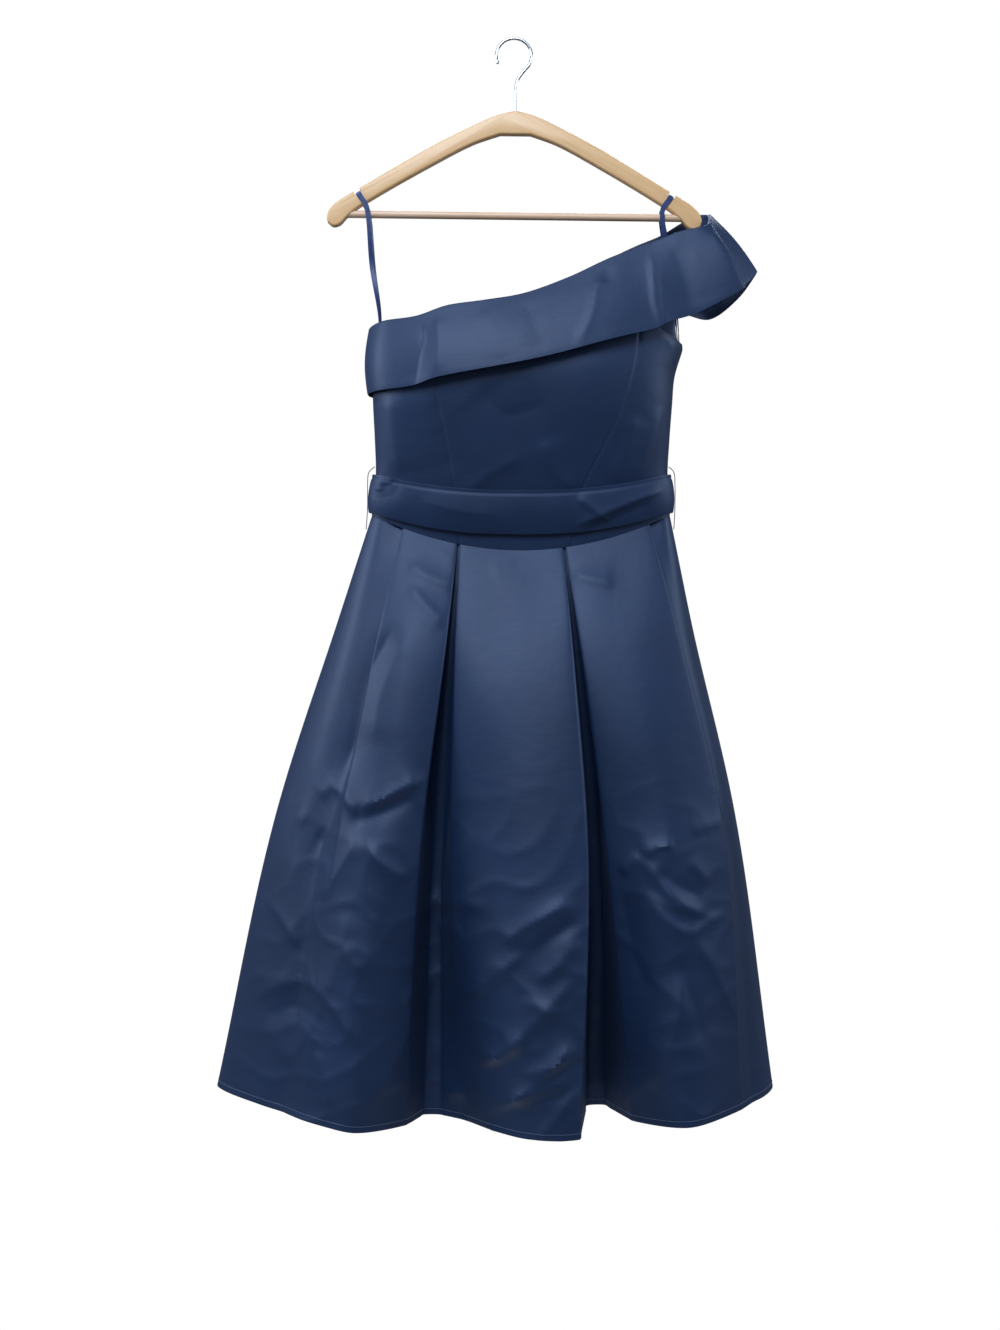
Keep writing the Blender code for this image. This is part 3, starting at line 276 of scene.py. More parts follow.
# %% The body's form
CENTRE_X = 0.008
SQUARENESS = 2.5
SIDE_SHARE = 0.992
Section = namedtuple("Section", "height bare shoulder front back bare_seam shoulder_seam")
BODY = (
    Section(-0.563, -0.168, 0.184, 0.034, 0.030, -0.064, 0.066),
    Section(-0.515, -0.163, 0.181, 0.046, 0.036, -0.070, 0.078),
    Section(-0.475, -0.164, 0.183, 0.060, 0.041, -0.078, 0.104),
    Section(-0.434, -0.166, 0.186, 0.072, 0.047, -0.088, 0.127),
    Section(-0.400, -0.167, 0.189, 0.076, 0.050, -0.094, 0.138),
    Section(-0.366, -0.168, 0.199, 0.071, 0.050, -0.098, 0.143),
    Section(-0.335, -0.168, 0.206, 0.062, 0.047, -0.100, 0.145),
    Section(-0.290, -0.168, 0.228, 0.049, 0.041, -0.102, 0.148),
    Section(-0.225, -0.168, 0.240, 0.036, 0.034, -0.104, 0.152),
)
WAIST = BODY[0].height
UNDERARM = BODY[5].height
FRONT_WAIST_SAG = 0.043
BACK_WAIST_SAG = 0.012
SAG_ENDS_AT = -0.400


def section_at(height):
    """The body's section at each height."""
    return Section(*np.moveaxis(read_curve([row.height for row in BODY], BODY, height), -1, 0))


def sag(across, height, front):
    """How far the cloth hangs below its height, most at the centre of the waist."""
    fade = np.clip((SAG_ENDS_AT - height) / (SAG_ENDS_AT - WAIST), 0.0, 1.0)
    most = FRONT_WAIST_SAG if front else BACK_WAIST_SAG
    return most * fade**1.5 * (1.0 - np.minimum(across * across, 1.0))


def across_at(turn):
    """How far across a turn lies, from -1 at the bare side to 1 at the shoulder side."""
    cosine = np.cos(math.pi * turn)
    return -np.sign(cosine) * np.abs(cosine) ** (2.0 / SQUARENESS)


def body_point(turn, height, front, outward=0.0):
    """Points of the body: turn is 0 at the bare side and 1 at the shoulder side."""
    turn, height = np.broadcast_arrays(np.asarray(turn, float), np.asarray(height, float))
    section = section_at(height)
    across = across_at(turn)
    reach = np.abs(np.sin(math.pi * turn)) ** (2.0 / SQUARENESS) * (-1.0 if front else 1.0)
    half = np.where(across > 0.0, section.shoulder - CENTRE_X, CENTRE_X - section.bare)
    depth = section.front if front else section.back
    drop = sag(across, height, front)
    points = np.stack([CENTRE_X + half * across, depth * reach, height - drop], axis=-1)
    slant = (across * np.abs(across) ** 0.5 / half, reach * np.abs(reach) ** 0.5 / depth, np.zeros_like(half))
    return points + unit(np.stack(slant, axis=-1)) * np.asarray(outward)[..., None]


def turn_of(x, height):
    """The turn whose point has that x."""
    section = section_at(height)
    half = np.where(x > CENTRE_X, section.shoulder - CENTRE_X, CENTRE_X - section.bare)
    share = (x - CENTRE_X) / half
    share = np.where(np.abs(share) > SIDE_SHARE, np.sign(share), share)
    return np.arccos(-np.sign(share) * np.abs(share) ** (SQUARENESS / 2.0)) / math.pi


def point_on_body(x, height, front):
    """Points of the body at that x and height."""
    return body_point(turn_of(x, height), height, front)


bust = body_point(np.linspace(0.0, 1.0, 200), -0.400, True)
print("bust, front:", round(np.linalg.norm(np.diff(bust, axis=0), axis=1).sum() / MM), "mm")

# %% [markdown]
# Heavy satin crumples in its own way. A crease is a short fold with a crisp top, steeper on one
# side, that dies away at both ends. Each is given in millimetres across and up. Simulated
# cloth would give other creases than the ones the real dress has. The height is added along Y
# alone, to every layer behind that place alike, so that a pleat's layers can never cut through each
# other.

# %% Creases
Crease = namedtuple("Crease", "name path height width lean")
CRISPNESS = 0.7 * MM
ENDS_FADE = 0.24
CREASE_STRENGTH = 1.7


def distance_to(line, x, z):
    """Distance of points from a line in the front's plane, its side, and how far along it they are."""
    nearest = np.full(x.shape, np.inf)
    side = np.zeros(x.shape)
    place = np.zeros(x.shape)
    passed = 0.0
    for start, end in zip(line[:-1], line[1:]):
        step = end - start
        length = np.linalg.norm(step)
        share = np.clip(((x - start[0]) * step[0] + (z - start[1]) * step[1]) / length**2, 0.0, 1.0)
        dx, dz = x - start[0] - share * step[0], z - start[1] - share * step[1]
        found = np.hypot(dx, dz)
        closer = found < nearest
        nearest = np.where(closer, found, nearest)
        side = np.where(closer, np.sign(step[0] * dz - step[1] * dx), side)
        place = np.where(closer, passed + share * length, place)
        passed += length
    return nearest, side, place / passed


def crease_height(creases, x, z):
    """How far a set of creases lifts the cloth at each place."""
    lift = np.zeros(x.shape)
    for crease in creases:
        points = np.asarray(crease.path, float) * MM
        line = along_path(points, np.linspace(0.0, len(points) - 1.0, 6 * len(points)))
        near, side, place = distance_to(line, x, z)
        width = crease.width * MM * (1.0 + crease.lean * side)
        crisp = np.sqrt(near**2 + CRISPNESS**2) - CRISPNESS
        fade = ease(np.minimum(place, 1.0 - place) / ENDS_FADE + 0.15)
        lift += CREASE_STRENGTH * crease.height * MM * fade * np.exp(-crisp / width)
    return lift


def ripple(x, z, seed, longest, shortest, height, upright=1.0, waves=28):
    """Soft uneven waves from a fixed seed. With upright above 1 they run more up and down than across."""
    draw = np.random.default_rng(seed)
    total = np.zeros(x.shape)
    for _ in range(waves):
        length = longest * (shortest / longest) ** draw.random()
        angle = draw.uniform(0.0, math.pi)
        phase = draw.uniform(0.0, 2.0 * math.pi)
        run = x * math.cos(angle) * upright + z * math.sin(angle) / upright
        total += (length / longest) * np.sin(2.0 * math.pi * run / length + phase)
    return total / math.sqrt(waves) * height


def crumple(x, z, seed, length, height):
    """Crisp ridges where a ripple changes sign, as in cloth that was crushed."""
    return height * np.exp(-np.abs(ripple(x, z, seed, length, length / 2.5, 1.0)) * 4.0)


one = crease_height([Crease("test", ((0, 0), (40, 0)), 2.0, 8, 0.0)], np.array([0.02]), np.array([0.0]))
print("a 2 mm crease lifts its middle by", round(one[0] / MM, 2), "mm")

# %% [markdown]
# Every cloth piece becomes a closed thin shell round a grid of points: an outer skin, an inner skin
# and a narrow rim. A Solidify modifier would do the same, but here the two skins can differ, as at
# a turned-up hem. The UV map is measured in metres on the cloth, so that the ribs have the same
# size everywhere. At a seam the edge rolls in a little, which draws the seam as a fine groove. The
# solids stand 0.3 mm apart at a seam, but a sewn seam is shut, so here it is nearly closed, and no
# light shows through it.

# %% Cloth shells
CLOTH = 0.9 * MM
SEAM_GAP = 0.3 * MM
SEAM_OPENING = 0.02 * MM
SEAM_ROLL = 0.7 * MM
SEAM_ROLL_WIDTH = 2.2 * MM
HEM_ROUNDING = 0.3


def facing_of(grid, closed=False):
    """Unit vectors out of a surface whose columns go round the dress and whose rows go down."""
    padded = np.concatenate([grid[:, -1:], grid, grid[:, :1]], axis=1) if closed else grid
    along = np.gradient(padded, axis=1)
    if closed:
        along = along[:, 1:-1]
    return unit(np.cross(np.gradient(grid, axis=0), along))


def lengths_along(grid, axis):
    """Distance from the start of each row or column to each of its points."""
    steps = np.linalg.norm(np.diff(grid, axis=axis), axis=2)
    start = np.zeros_like(np.take(steps, [0], axis=axis))
    return np.concatenate([start, np.cumsum(steps, axis=axis)], axis=axis)


def roll_edges(grid, facing, first=True, last=True):
    """Rolls the side edges inwards and draws them back from the seam."""
    run = lengths_along(grid, 1)
    back = run[:, -1:] - run
    grid = grid.copy()
    for wanted, distance, edge, inside in ((first, run, 0, 1), (last, back, -1, -2)):
        if wanted:
            grid -= facing * (SEAM_ROLL * np.exp(-((distance / SEAM_ROLL_WIDTH) ** 2)))[:, :, None]
            grid[:, edge] += unit(grid[:, inside] - grid[:, edge]) * SEAM_OPENING / 2.0
    return grid


def skin_faces(rows, columns, flip):
    """The faces of one skin, as point numbers."""
    j, i = np.meshgrid(np.arange(rows - 1), np.arange(columns - 1), indexing="ij")
    a = (j * columns + i).ravel()
    quads = np.stack([a, a + columns, a + columns + 1, a + 1], axis=1)
    return quads[:, ::-1] if flip else quads


def rim_faces(rows, columns):
    """The faces that join the two skins round their edges."""
    top = np.arange(columns)
    right = np.arange(1, rows) * columns + columns - 1
    bottom = (rows - 1) * columns + np.arange(columns - 2, -1, -1)
    left = np.arange(rows - 2, 0, -1) * columns
    loop = np.concatenate([top, right, bottom, left])
    after = np.roll(loop, -1)
    skin = rows * columns
    return np.stack([loop, after, after + skin, loop + skin], axis=1)


def mesh_object(name, points, faces, material, uv=None, sharp=40.0):
    """A smooth-shaded object from points and faces, with its place in its mesh."""
    data = bpy.data.meshes.new(name)
    data.from_pydata(points.tolist(), [], [list(map(int, face)) for face in faces])
    if uv is not None:
        corners = np.zeros(len(data.loops), int)
        data.loops.foreach_get("vertex_index", corners)
        data.uv_layers.new(name=UV_NAME).data.foreach_set("uv", uv[corners].astype(np.float32).ravel())
    data.shade_smooth()
    data.set_sharp_from_angle(angle=math.radians(sharp))
    data.materials.append(material)
    piece = bpy.data.objects.new(name, data)
    bpy.context.scene.collection.objects.link(piece)
    return piece


def shell(name, grid, facing, node, material=NAVY_SATIN, thickness=CLOTH, hem=None):
    """A closed thin shell round a grid, which stands for a node. hem thickens each row inside."""
    rows, columns = grid.shape[:2]
    half = np.full((rows, 1, 1), thickness / 2.0)
    inside = half.copy()
    if hem is not None:
        inside += hem[:, None, None]
        half[-1] *= HEM_ROUNDING
        inside[-1] *= HEM_ROUNDING
    outer, inner = grid + facing * half, grid - facing * inside
    points = np.concatenate([outer.reshape(-1, 3), inner.reshape(-1, 3)])
    skin = rows * columns
    outer_faces = skin_faces(rows, columns, False)
    inner_faces = skin_faces(rows, columns, True) + skin
    faces = np.concatenate([outer_faces, inner_faces, rim_faces(rows, columns)])
    u = np.broadcast_to(lengths_along(grid, 1)[rows // 2], (rows, columns))
    v = lengths_along(grid, 0)
    uv = np.stack([u.ravel(), v.ravel()], axis=1)
    piece = mesh_object(name, points, faces, material, np.concatenate([uv, uv]))
    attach(piece, "root")
    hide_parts(node)
    low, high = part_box(node)
    outside = np.maximum(np.array(low) - points.min(0), points.max(0) - np.array(high)).max()
    print(f"{name}: {2 * len(faces)} triangles, {outside / MM:.1f} mm outside its solid's box")
    return piece


print("cloth", CLOTH / MM, "mm thick")

# %% [markdown]
# The neckline is finished with a wide band, cut on the straight and folded over to the outside. It
# stands up a little from the bodice, turns over a soft roll and falls outwards, and at the shoulder
# it goes on alone as the sleeve. Its table has a row for each place where its line changes. Rows
# with a bodice below them are placed on the body, and the others give whole points. The band comes
# before the bodice, because its foot is the bodice's top edge.

# %% Neckline band
BAND_STAND = 0.0150
BAND_FOLD_RADIUS = 0.0017
OnBody = namedtuple("OnBody", "name front top_x top_z bottom_x bottom_z flare")
Free = namedtuple("Free", "name top bottom")
BAND = (
    OnBody("bare_side_seam", True, -0.168, -0.343, -0.1665, -0.4210, 0.0060),
    OnBody("bare_side", True, -0.152, -0.3405, -0.154, -0.4215, 0.0080),
    OnBody("bare_hollow", True, -0.112, -0.338, -0.114, -0.4185, 0.0070),
    OnBody("bare_ridge", True, -0.078, -0.327, -0.088, -0.412, 0.0120),
    OnBody("centre_bare", True, -0.035, -0.321, -0.035, -0.403, 0.0120),
    OnBody("centre", True, 0.010, -0.313, 0.020, -0.393, 0.0130),
    OnBody("centre_shoulder", True, 0.062, -0.293, 0.079, -0.377, 0.0130),
    OnBody("shoulder_ridge", True, 0.112, -0.268, 0.128, -0.362, 0.0140),
    OnBody("shoulder_panel", True, 0.160, -0.249, 0.170, -0.3485, 0.0180),
    Free("over_armhole", (0.1930, -0.0320, -0.2355), (0.2120, -0.0520, -0.3330)),
    Free("front_crease", (0.2215, -0.0290, -0.2285), (0.2640, -0.0420, -0.3040)),
    Free("gusset_hollow", (0.2275, -0.0130, -0.2180), (0.2710, -0.0230, -0.2950)),
    Free("gusset", (0.2295, 0.0060, -0.2080), (0.2800, -0.0080, -0.2840)),
    Free("shoulder_seam", (0.2300, 0.0210, -0.2020), (0.2890, 0.0060, -0.2730)),
    Free("back_crease", (0.2200, 0.0300, -0.2000), (0.2690, 0.0300, -0.3000)),
    Free("back_corner", (0.2030, 0.0310, -0.2080), (0.2370, 0.0430, -0.3220)),
    OnBody("back_armhole", False, 0.178, -0.224, 0.200, -0.3180, 0.0080),
    OnBody("back_shoulder_panel", False, 0.145, -0.237, 0.155, -0.3260, 0.0120),
    OnBody("back_ridge", False, 0.090, -0.262, 0.100, -0.3500, 0.0110),
    OnBody("centre_back", False, 0.008, -0.299, 0.008, -0.3830, 0.0090),
    OnBody("back_bare", False, -0.080, -0.325, -0.085, -0.4080, 0.0090),
    OnBody("back_bare_side", False, -0.152, -0.340, -0.154, -0.4200, 0.0070),
)
BAND_NAMES = [row.name for row in BAND]
SHOULDER_SEAM_AT = BAND_NAMES.index("shoulder_seam")
BACK_ARMHOLE_AT = BAND_NAMES.index("back_armhole")
CENTRE_BACK_AT = BAND_NAMES.index("centre_back")

# Places on the band's rows where the front bodice's seams and armhole meet it
BARE_PRINCESS_AT = 2.0 + 1.0 / 3.0
SHOULDER_PRINCESS_AT = 7.75
FRONT_ARMHOLE_AT = 8.5

BAND_CREASES = (
    Crease("bare_pinch", ((-107, -346), (-104, -366), (-109, -386), (-114, -419)), -1.1, 5, -0.5),
    Crease("bare_pinch_shoulder", ((-90, -336), (-87, -372), (-90, -410)), 0.9, 8, 0.4),
    Crease("soft_middle", ((-40, -330), (-24, -362), (-20, -396)), 0.6, 22, 0.2),
    Crease("soft_middle_hollow", ((10, -320), (22, -350), (34, -384)), -0.8, 20, 0.0),
    Crease("shoulder_fold", ((97, -284), (91, -312), (86, -338), (70, -376)), 1.4, 6, 0.7),
    Crease("shoulder_triangle", ((101, -281), (110, -290), (101, -300)), -0.7, 4, 0.0),
    Crease("over_shoulder_fold", ((156, -258), (158, -290), (160, -322), (167, -352)), 1.1, 4, 0.7),
    Crease("end_soft_hollow", ((182, -248), (194, -286), (202, -330)), -0.7, 16, 0.2),
)
BAND_CORNER_AT = 10.0
BAND_CORNER_WIDTH = 0.30
BAND_CORNER_RISE = 4.2 * MM
BAND_VALLEY_AT = 11.0
BAND_VALLEY_WIDTH = 0.45
BAND_VALLEY_DEPTH = 4.0 * MM
BACK_BAND_CREASES = (
    Crease("back_shoulder_fold", ((142, -250), (136, -286), (140, -320)), 2.2, 9, 0.4),
    Crease("back_soft_hollow", ((70, -272), (62, -306), (66, -346)), -1.6, 16, 0.0),
    Crease("back_pinch", ((-52, -318), (-56, -350), (-48, -392)), 2.0, 8, -0.4),
    Crease("back_bare_fold", ((-112, -334), (-106, -366), (-114, -410)), 1.8, 10, 0.3),
)
FOLD_POINTS = 9
BAND_OUTER_ROWS = 26
STAND_ROWS = 3
BAND_BELLY = 0.004
BAND_HEM = 1.1 * MM


def band_lines(row):
    """A band row's foot, top fold and bottom edge, and its flare."""
    if isinstance(row, Free):
        top, bottom = np.array(row.top), np.array(row.bottom)
        return top + unit(bottom - top) * BAND_STAND, top, bottom, [0.0]
    foot = point_on_body(row.top_x, row.top_z - BAND_STAND, row.front)
    top = point_on_body(row.top_x, row.top_z, row.front)
    return foot, top, point_on_body(row.bottom_x, row.bottom_z, row.front), [row.flare]


BAND_TABLE = [np.array(found) for found in zip(*[band_lines(row) for row in BAND])]


def level_outward(points):
    """Level unit vectors out of a closed path that goes round the dress."""
    along = (np.roll(points, -1, axis=0) - np.roll(points, 1, axis=0))[:, :2]
    return unit(np.column_stack([along[:, 1], -along[:, 0], np.zeros(len(points))]))


def band_grid(at):
    """Middle surface of the folded band at places at: up its stand, over the roll and down the outside."""
    foot, top, bottom, flare = (along_ring(table, at) for table in BAND_TABLE)
    bottom = bottom + level_outward(bottom) * flare
    up = unit(top - foot)
    out = level_outward(top)
    out = unit(out - up * np.sum(out * up, axis=1, keepdims=True))
    middle = top - up * BAND_FOLD_RADIUS + out * BAND_FOLD_RADIUS
    base = foot + up * SEAM_GAP
    start_of_roll = middle - out * BAND_FOLD_RADIUS
    rows = [base + (start_of_roll - base) * k / STAND_ROWS for k in range(STAND_ROWS)]
    for angle in np.linspace(0.0, math.pi, FOLD_POINTS):
        rows.append(middle + (up * math.sin(angle) - out * math.cos(angle)) * BAND_FOLD_RADIUS)
    start = rows[-1]
    for share in np.arange(1, BAND_OUTER_ROWS + 1) / BAND_OUTER_ROWS:
        rows.append(start + (bottom - start) * share + out * BAND_BELLY * math.sin(math.pi * share))
    return np.array(rows)


def crease_band(grid, facing, at):
    """Creases on the outer side of the band, none at its roll or its seams. They may sink only a little."""
    x, z = grid[:, :, 0], grid[:, :, 2]
    front = crease_height(BAND_CREASES, x, z) + ripple(x, z, 11, 0.16, 0.05, 0.5 * MM, upright=1.6)
    front += BAND_CORNER_RISE * np.exp(-np.abs(at - BAND_CORNER_AT) / BAND_CORNER_WIDTH)
    front -= BAND_VALLEY_DEPTH * np.exp(-(((at - BAND_VALLEY_AT) / BAND_VALLEY_WIDTH) ** 2))
    behind = crease_height(BACK_BAND_CREASES, x, z) + ripple(x, z, 12, 0.16, 0.05, 0.6 * MM, upright=1.6)
    lift = np.where(at < SHOULDER_SEAM_AT, front, behind)
    to_seam = np.min([np.abs(at - seam) for seam in BAND_SEAMS], axis=0)
    rows = np.arange(len(grid)) - (STAND_ROWS + FOLD_POINTS - 1)
    fade = ease(rows / (0.3 * BAND_OUTER_ROWS))[:, None] * ease(to_seam / 0.7)
    lowest = np.where(np.abs(at - BAND_VALLEY_AT) < 1.0, -BAND_VALLEY_DEPTH, -2.4 * MM)
    return grid + facing * (np.maximum(lift, lowest) * fade)[:, :, None]


def places_between(start, end, count):
    """Places from start up to end, closer together near both."""
    share = np.arange(count) / count
    return start + (end - start) * (share - 0.10 * np.sin(2.0 * math.pi * share))


def cut(grid, facing, first, last):
    """The columns first to last of a closed surface."""
    columns = np.arange(first, last + 1) % grid.shape[1]
    return grid[:, columns], facing[:, columns]


BAND_SEAMS = (0, SHOULDER_SEAM_AT, CENTRE_BACK_AT, len(BAND))
BAND_COLUMNS = (260, 120, 70)
BAND_NODES = {
    "band_front": ["bodice_side_front_bare", "bodice_centre_front", "bodice_side_front_shoulder"],
    "band_back_shoulder_side": ["bodice_back_shoulder_side"],
    "band_back_bare_side": ["bodice_back_bare_side"],
}
band_at = np.concatenate([places_between(*span) for span in zip(BAND_SEAMS, BAND_SEAMS[1:], BAND_COLUMNS)])
smooth = band_grid(band_at)
smooth_out = facing_of(smooth, closed=True)
smooth_out[0] = unit(smooth_out[0] * (1.0, 1.0, 0.0))
creased = crease_band(smooth, smooth_out, band_at)
creased_out = facing_of(creased, closed=True)
creased_out[0] = smooth_out[0]
band_hem = BAND_HEM * (1.0 - ease(np.arange(len(smooth) - 1, -1, -1) / 3.0))
first = 0
for (node, held_by), count in zip(BAND_NODES.items(), BAND_COLUMNS):
    grid, out = cut(creased, creased_out, first, first + count)
    piece = shell(node + "_satin", roll_edges(grid, out), out, node, hem=band_hem)
    first += count

# %% [markdown]
# The bodice has three front panels joined by two princess seams, and two back panels with the zip
# between them. Princess seams give the bust its shape with no dart showing, so each panel's edges
# follow a line down the body. The panels are drawn between those lines, from the band's foot to the
# waist.

# %% Bodice
Edge = namedtuple("Edge", "height turn")
ARMHOLE_FRONT = (
    Edge(UNDERARM, 1.00),
    Edge(-0.3615, 0.90),
    Edge(-0.355, 0.82),
    Edge(-0.340, 0.775),
    Edge(-0.300, 0.750),
    Edge(-0.225, 0.735),
)
ARMHOLE_BACK = (
    Edge(UNDERARM, 1.00),
    Edge(-0.358, 0.93),
    Edge(-0.342, 0.885),
    Edge(-0.318, 0.855),
    Edge(-0.280, 0.80),
    Edge(-0.225, 0.75),
)
BODICE_ROWS = 84
STAND_IN_SHARE = 0.40
BODICE_CREASES = (
    Crease("bare_side_streak", ((-147, -424), (-142, -470), (-133, -520)), 1.6, 13, 0.2),
    Crease("bare_seam_pucker", ((-92, -430), (-84, -470), (-74, -520)), -0.8, 9, 0.0),
    Crease("bust_hollow", ((-40, -420), (-10, -452), (40, -440)), -1.6, 26, 0.0),
    Crease("waist_pull_bare", ((-62, -546), (-30, -520), (10, -500)), 1.2, 11, 0.3),
    Crease("waist_pull_shoulder", ((70, -540), (44, -512), (30, -480)), 1.2, 11, -0.3),
    Crease("shoulder_seam_streak", ((141, -450), (129, -490), (112, -528)), 1.8, 13, 0.3),
    Crease("side_streak", ((172, -440), (158, -484), (140, -528)), 1.7, 9, -0.3),
    Crease("armhole_pull", ((172, -356), (184, -372), (188, -396)), 1.4, 7, 0.0),
)
BACK_BODICE_CREASES = (
    Crease("zip_pucker", ((22, -330), (26, -380), (20, -430)), -0.9, 9, 0.2),
    Crease("back_waist_pull", ((-24, -530), (-60, -505), (-110, -498)), 1.5, 10, 0.3),
    Crease("back_waist_pull_high", ((36, -520), (80, -494), (130, -486)), 1.4, 10, -0.3),
    Crease("back_side_streak", ((150, -400), (142, -450), (150, -510)), 1.3, 12, 0.2),
    Crease("back_bare_streak", ((-130, -420), (-122, -470), (-130, -520)), 1.3, 12, -0.2),
)


def edge_turn(edges, height):
    """Turn of an armhole's edge at each height."""
    turns = read_curve([edge.height for edge in edges], [edge.turn for edge in edges], height)[..., 0]
    return np.where(height <= UNDERARM, 1.0, turns)


def turn_of_point(points, front):
    """Turns of the body's points that lie in the same directions as points, seen from the body's middle."""
    wanted = np.arctan2(np.abs(points[:, 1]), points[:, 0] - CENTRE_X)
    low, high = np.zeros(len(points)), np.ones(len(points))
    for _ in range(40):
        turn = (low + high) / 2.0
        found = body_point(turn, points[:, 2], front)
        past = np.arctan2(np.abs(found[:, 1]), found[:, 0] - CENTRE_X) > wanted
        low, high = np.where(past, turn, low), np.where(past, high, turn)
    return turn


def bodice_grid(start, end, count, front, first_line, last_line):
    """Middle surface of a bodice panel between two lines, each a function from height to turn."""
    tops = along_ring(BAND_TABLE[0], np.append(places_between(start, end, count), end))
    turns = turn_of_point(tops, front)
    across = (turns - turns[0]) / (turns[-1] - turns[0])
    edge_top = along_ring(BAND_TABLE[0], FRONT_ARMHOLE_AT if front else BACK_ARMHOLE_AT)[2]
    upper = (edge_top - UNDERARM) / (edge_top - WAIST)
    shares = np.linspace(0.0, 1.0, BODICE_ROWS)[:, None]
    heights = tops[:, 2] + (WAIST - tops[:, 2]) * shares
    first, last = first_line(heights), last_line(heights)
    grid = body_point(first + (last - first) * across, heights, front)
    off = tops - grid[0]
    grid += off * np.clip(1.0 - shares / (upper * STAND_IN_SHARE), 0.0, 1.0)[:, :, None]
    grid[-1, :, 2] += SEAM_GAP / 2.0
    return grid


def bare_side_line(height):
    return np.zeros_like(height)


def bare_princess_line(height):
    return turn_of(section_at(height).bare_seam, height)


def shoulder_princess_line(height):
    return turn_of(section_at(height).shoulder_seam, height)


def front_armhole_line(height):
    return edge_turn(ARMHOLE_FRONT, height)


def back_armhole_line(height):
    return edge_turn(ARMHOLE_BACK, height)


def centre_back_line(height):
    return turn_of(np.full_like(height, CENTRE_X), height)


def crease_bodice(grid, front):
    """Creases and soft waves of the bodice, none at the side seams, the waist or the neckline."""
    x, z = grid[:, :, 0], grid[:, :, 2]
    lift = crease_height(BODICE_CREASES if front else BACK_BODICE_CREASES, x, z)
    lift += ripple(x, z, 21 if front else 22, 0.20, 0.06, 0.9 * MM, upright=1.5)
    section = section_at(z)
    half = np.where(x > CENTRE_X, section.shoulder - CENTRE_X, CENTRE_X - section.bare)
    share = np.abs(x - CENTRE_X) / half
    rows = np.linspace(0.0, 1.0, len(grid))[:, None]
    fade = ease((1.0 - share) / 0.10) * ease(rows / 0.10) * ease((1.0 - rows) / 0.12)
    moved = grid.copy()
    moved[:, :, 1] += lift * fade * (-1.0 if front else 1.0)
    return moved


def square_to(facing, rows, column, axis):
    """Turns the facing of an edge square to an axis, so that the walls on both sides of a seam meet."""
    facing[rows, column, axis] = 0.0
    facing[rows, column] = unit(facing[rows, column])


def build_bodice(panels, front):
    """The panels of one side of the bodice, in order round the body. Gives back its smooth surface."""
    smooth = [bodice_grid(*panel.span, panel.columns, front, *panel.lines) for panel in panels]
    whole = np.concatenate([smooth[0]] + [grid[:, 1:] for grid in smooth[1:]], axis=1)
    creased = crease_bodice(whole, front)
    out = facing_of(creased)
    underarm = int(np.argmax(whole[:, -1 if front else 0, 2] < UNDERARM))
    square_to(out, slice(None), 0 if front else -1, 1)
    square_to(out, slice(underarm, None), -1 if front else 0, 1)
    square_to(out, 0, slice(None), 2)
    square_to(out, -1, slice(None), 2)
    first = 0
    for panel, flat_grid in zip(panels, smooth):
        columns = slice(first, first + panel.columns + 1)
        facing = out[:, columns]
        piece = shell(panel.node + "_satin", roll_edges(creased[:, columns], facing), facing, panel.node)
        first += panel.columns
    return whole


Panel = namedtuple("Panel", "node span columns lines hung_on")
LOOPS = ("hanger_loop_bare_side", "hanger_loop_shoulder_side")
FRONT_PANELS = (
    Panel(
        "bodice_side_front_bare",
        (0.0, BARE_PRINCESS_AT),
        50,
        (bare_side_line, bare_princess_line),
        LOOPS[:1],
    ),
    Panel(
        "bodice_centre_front",
        (BARE_PRINCESS_AT, SHOULDER_PRINCESS_AT),
        96,
        (bare_princess_line, shoulder_princess_line),
        ("bodice_side_front_bare", "bodice_side_front_shoulder"),
    ),
    Panel(
        "bodice_side_front_shoulder",
        (SHOULDER_PRINCESS_AT, FRONT_ARMHOLE_AT),
        44,
        (shoulder_princess_line, front_armhole_line),
        LOOPS[1:],
    ),
)
BACK_PANELS = (
    Panel(
        "bodice_back_shoulder_side",
        (BACK_ARMHOLE_AT, CENTRE_BACK_AT),
        80,
        (back_armhole_line, centre_back_line),
        LOOPS[1:],
    ),
    Panel(
        "bodice_back_bare_side",
        (CENTRE_BACK_AT, len(BAND)),
        80,
        (centre_back_line, bare_side_line),
        LOOPS[:1],
    ),
)
bodice_front = build_bodice(FRONT_PANELS, True)
bodice_back = build_bodice(BACK_PANELS, False)
back_seam = bodice_back[:, BACK_PANELS[0].columns]
bare_seam_line = bodice_front[:, 0]
below_underarm = bodice_front[:, -1, 2] <= UNDERARM
shoulder_seam_line = bodice_front[below_underarm, -1]

# %% [markdown]
# The skirt is one wide piece in front, folded at the waist into two inverted pleats and a knife
# pleat at each side, and two pleated pieces behind. A pleat's edge is called its lip here. At the
# waist the cloth turns back 27 mm under the lip and lies flat, and towards the hem it opens into a
# valley. Each row of the table is a fold, with its place at the waist, hip, thigh and hem. A ring
# is drawn through all of them at each height.

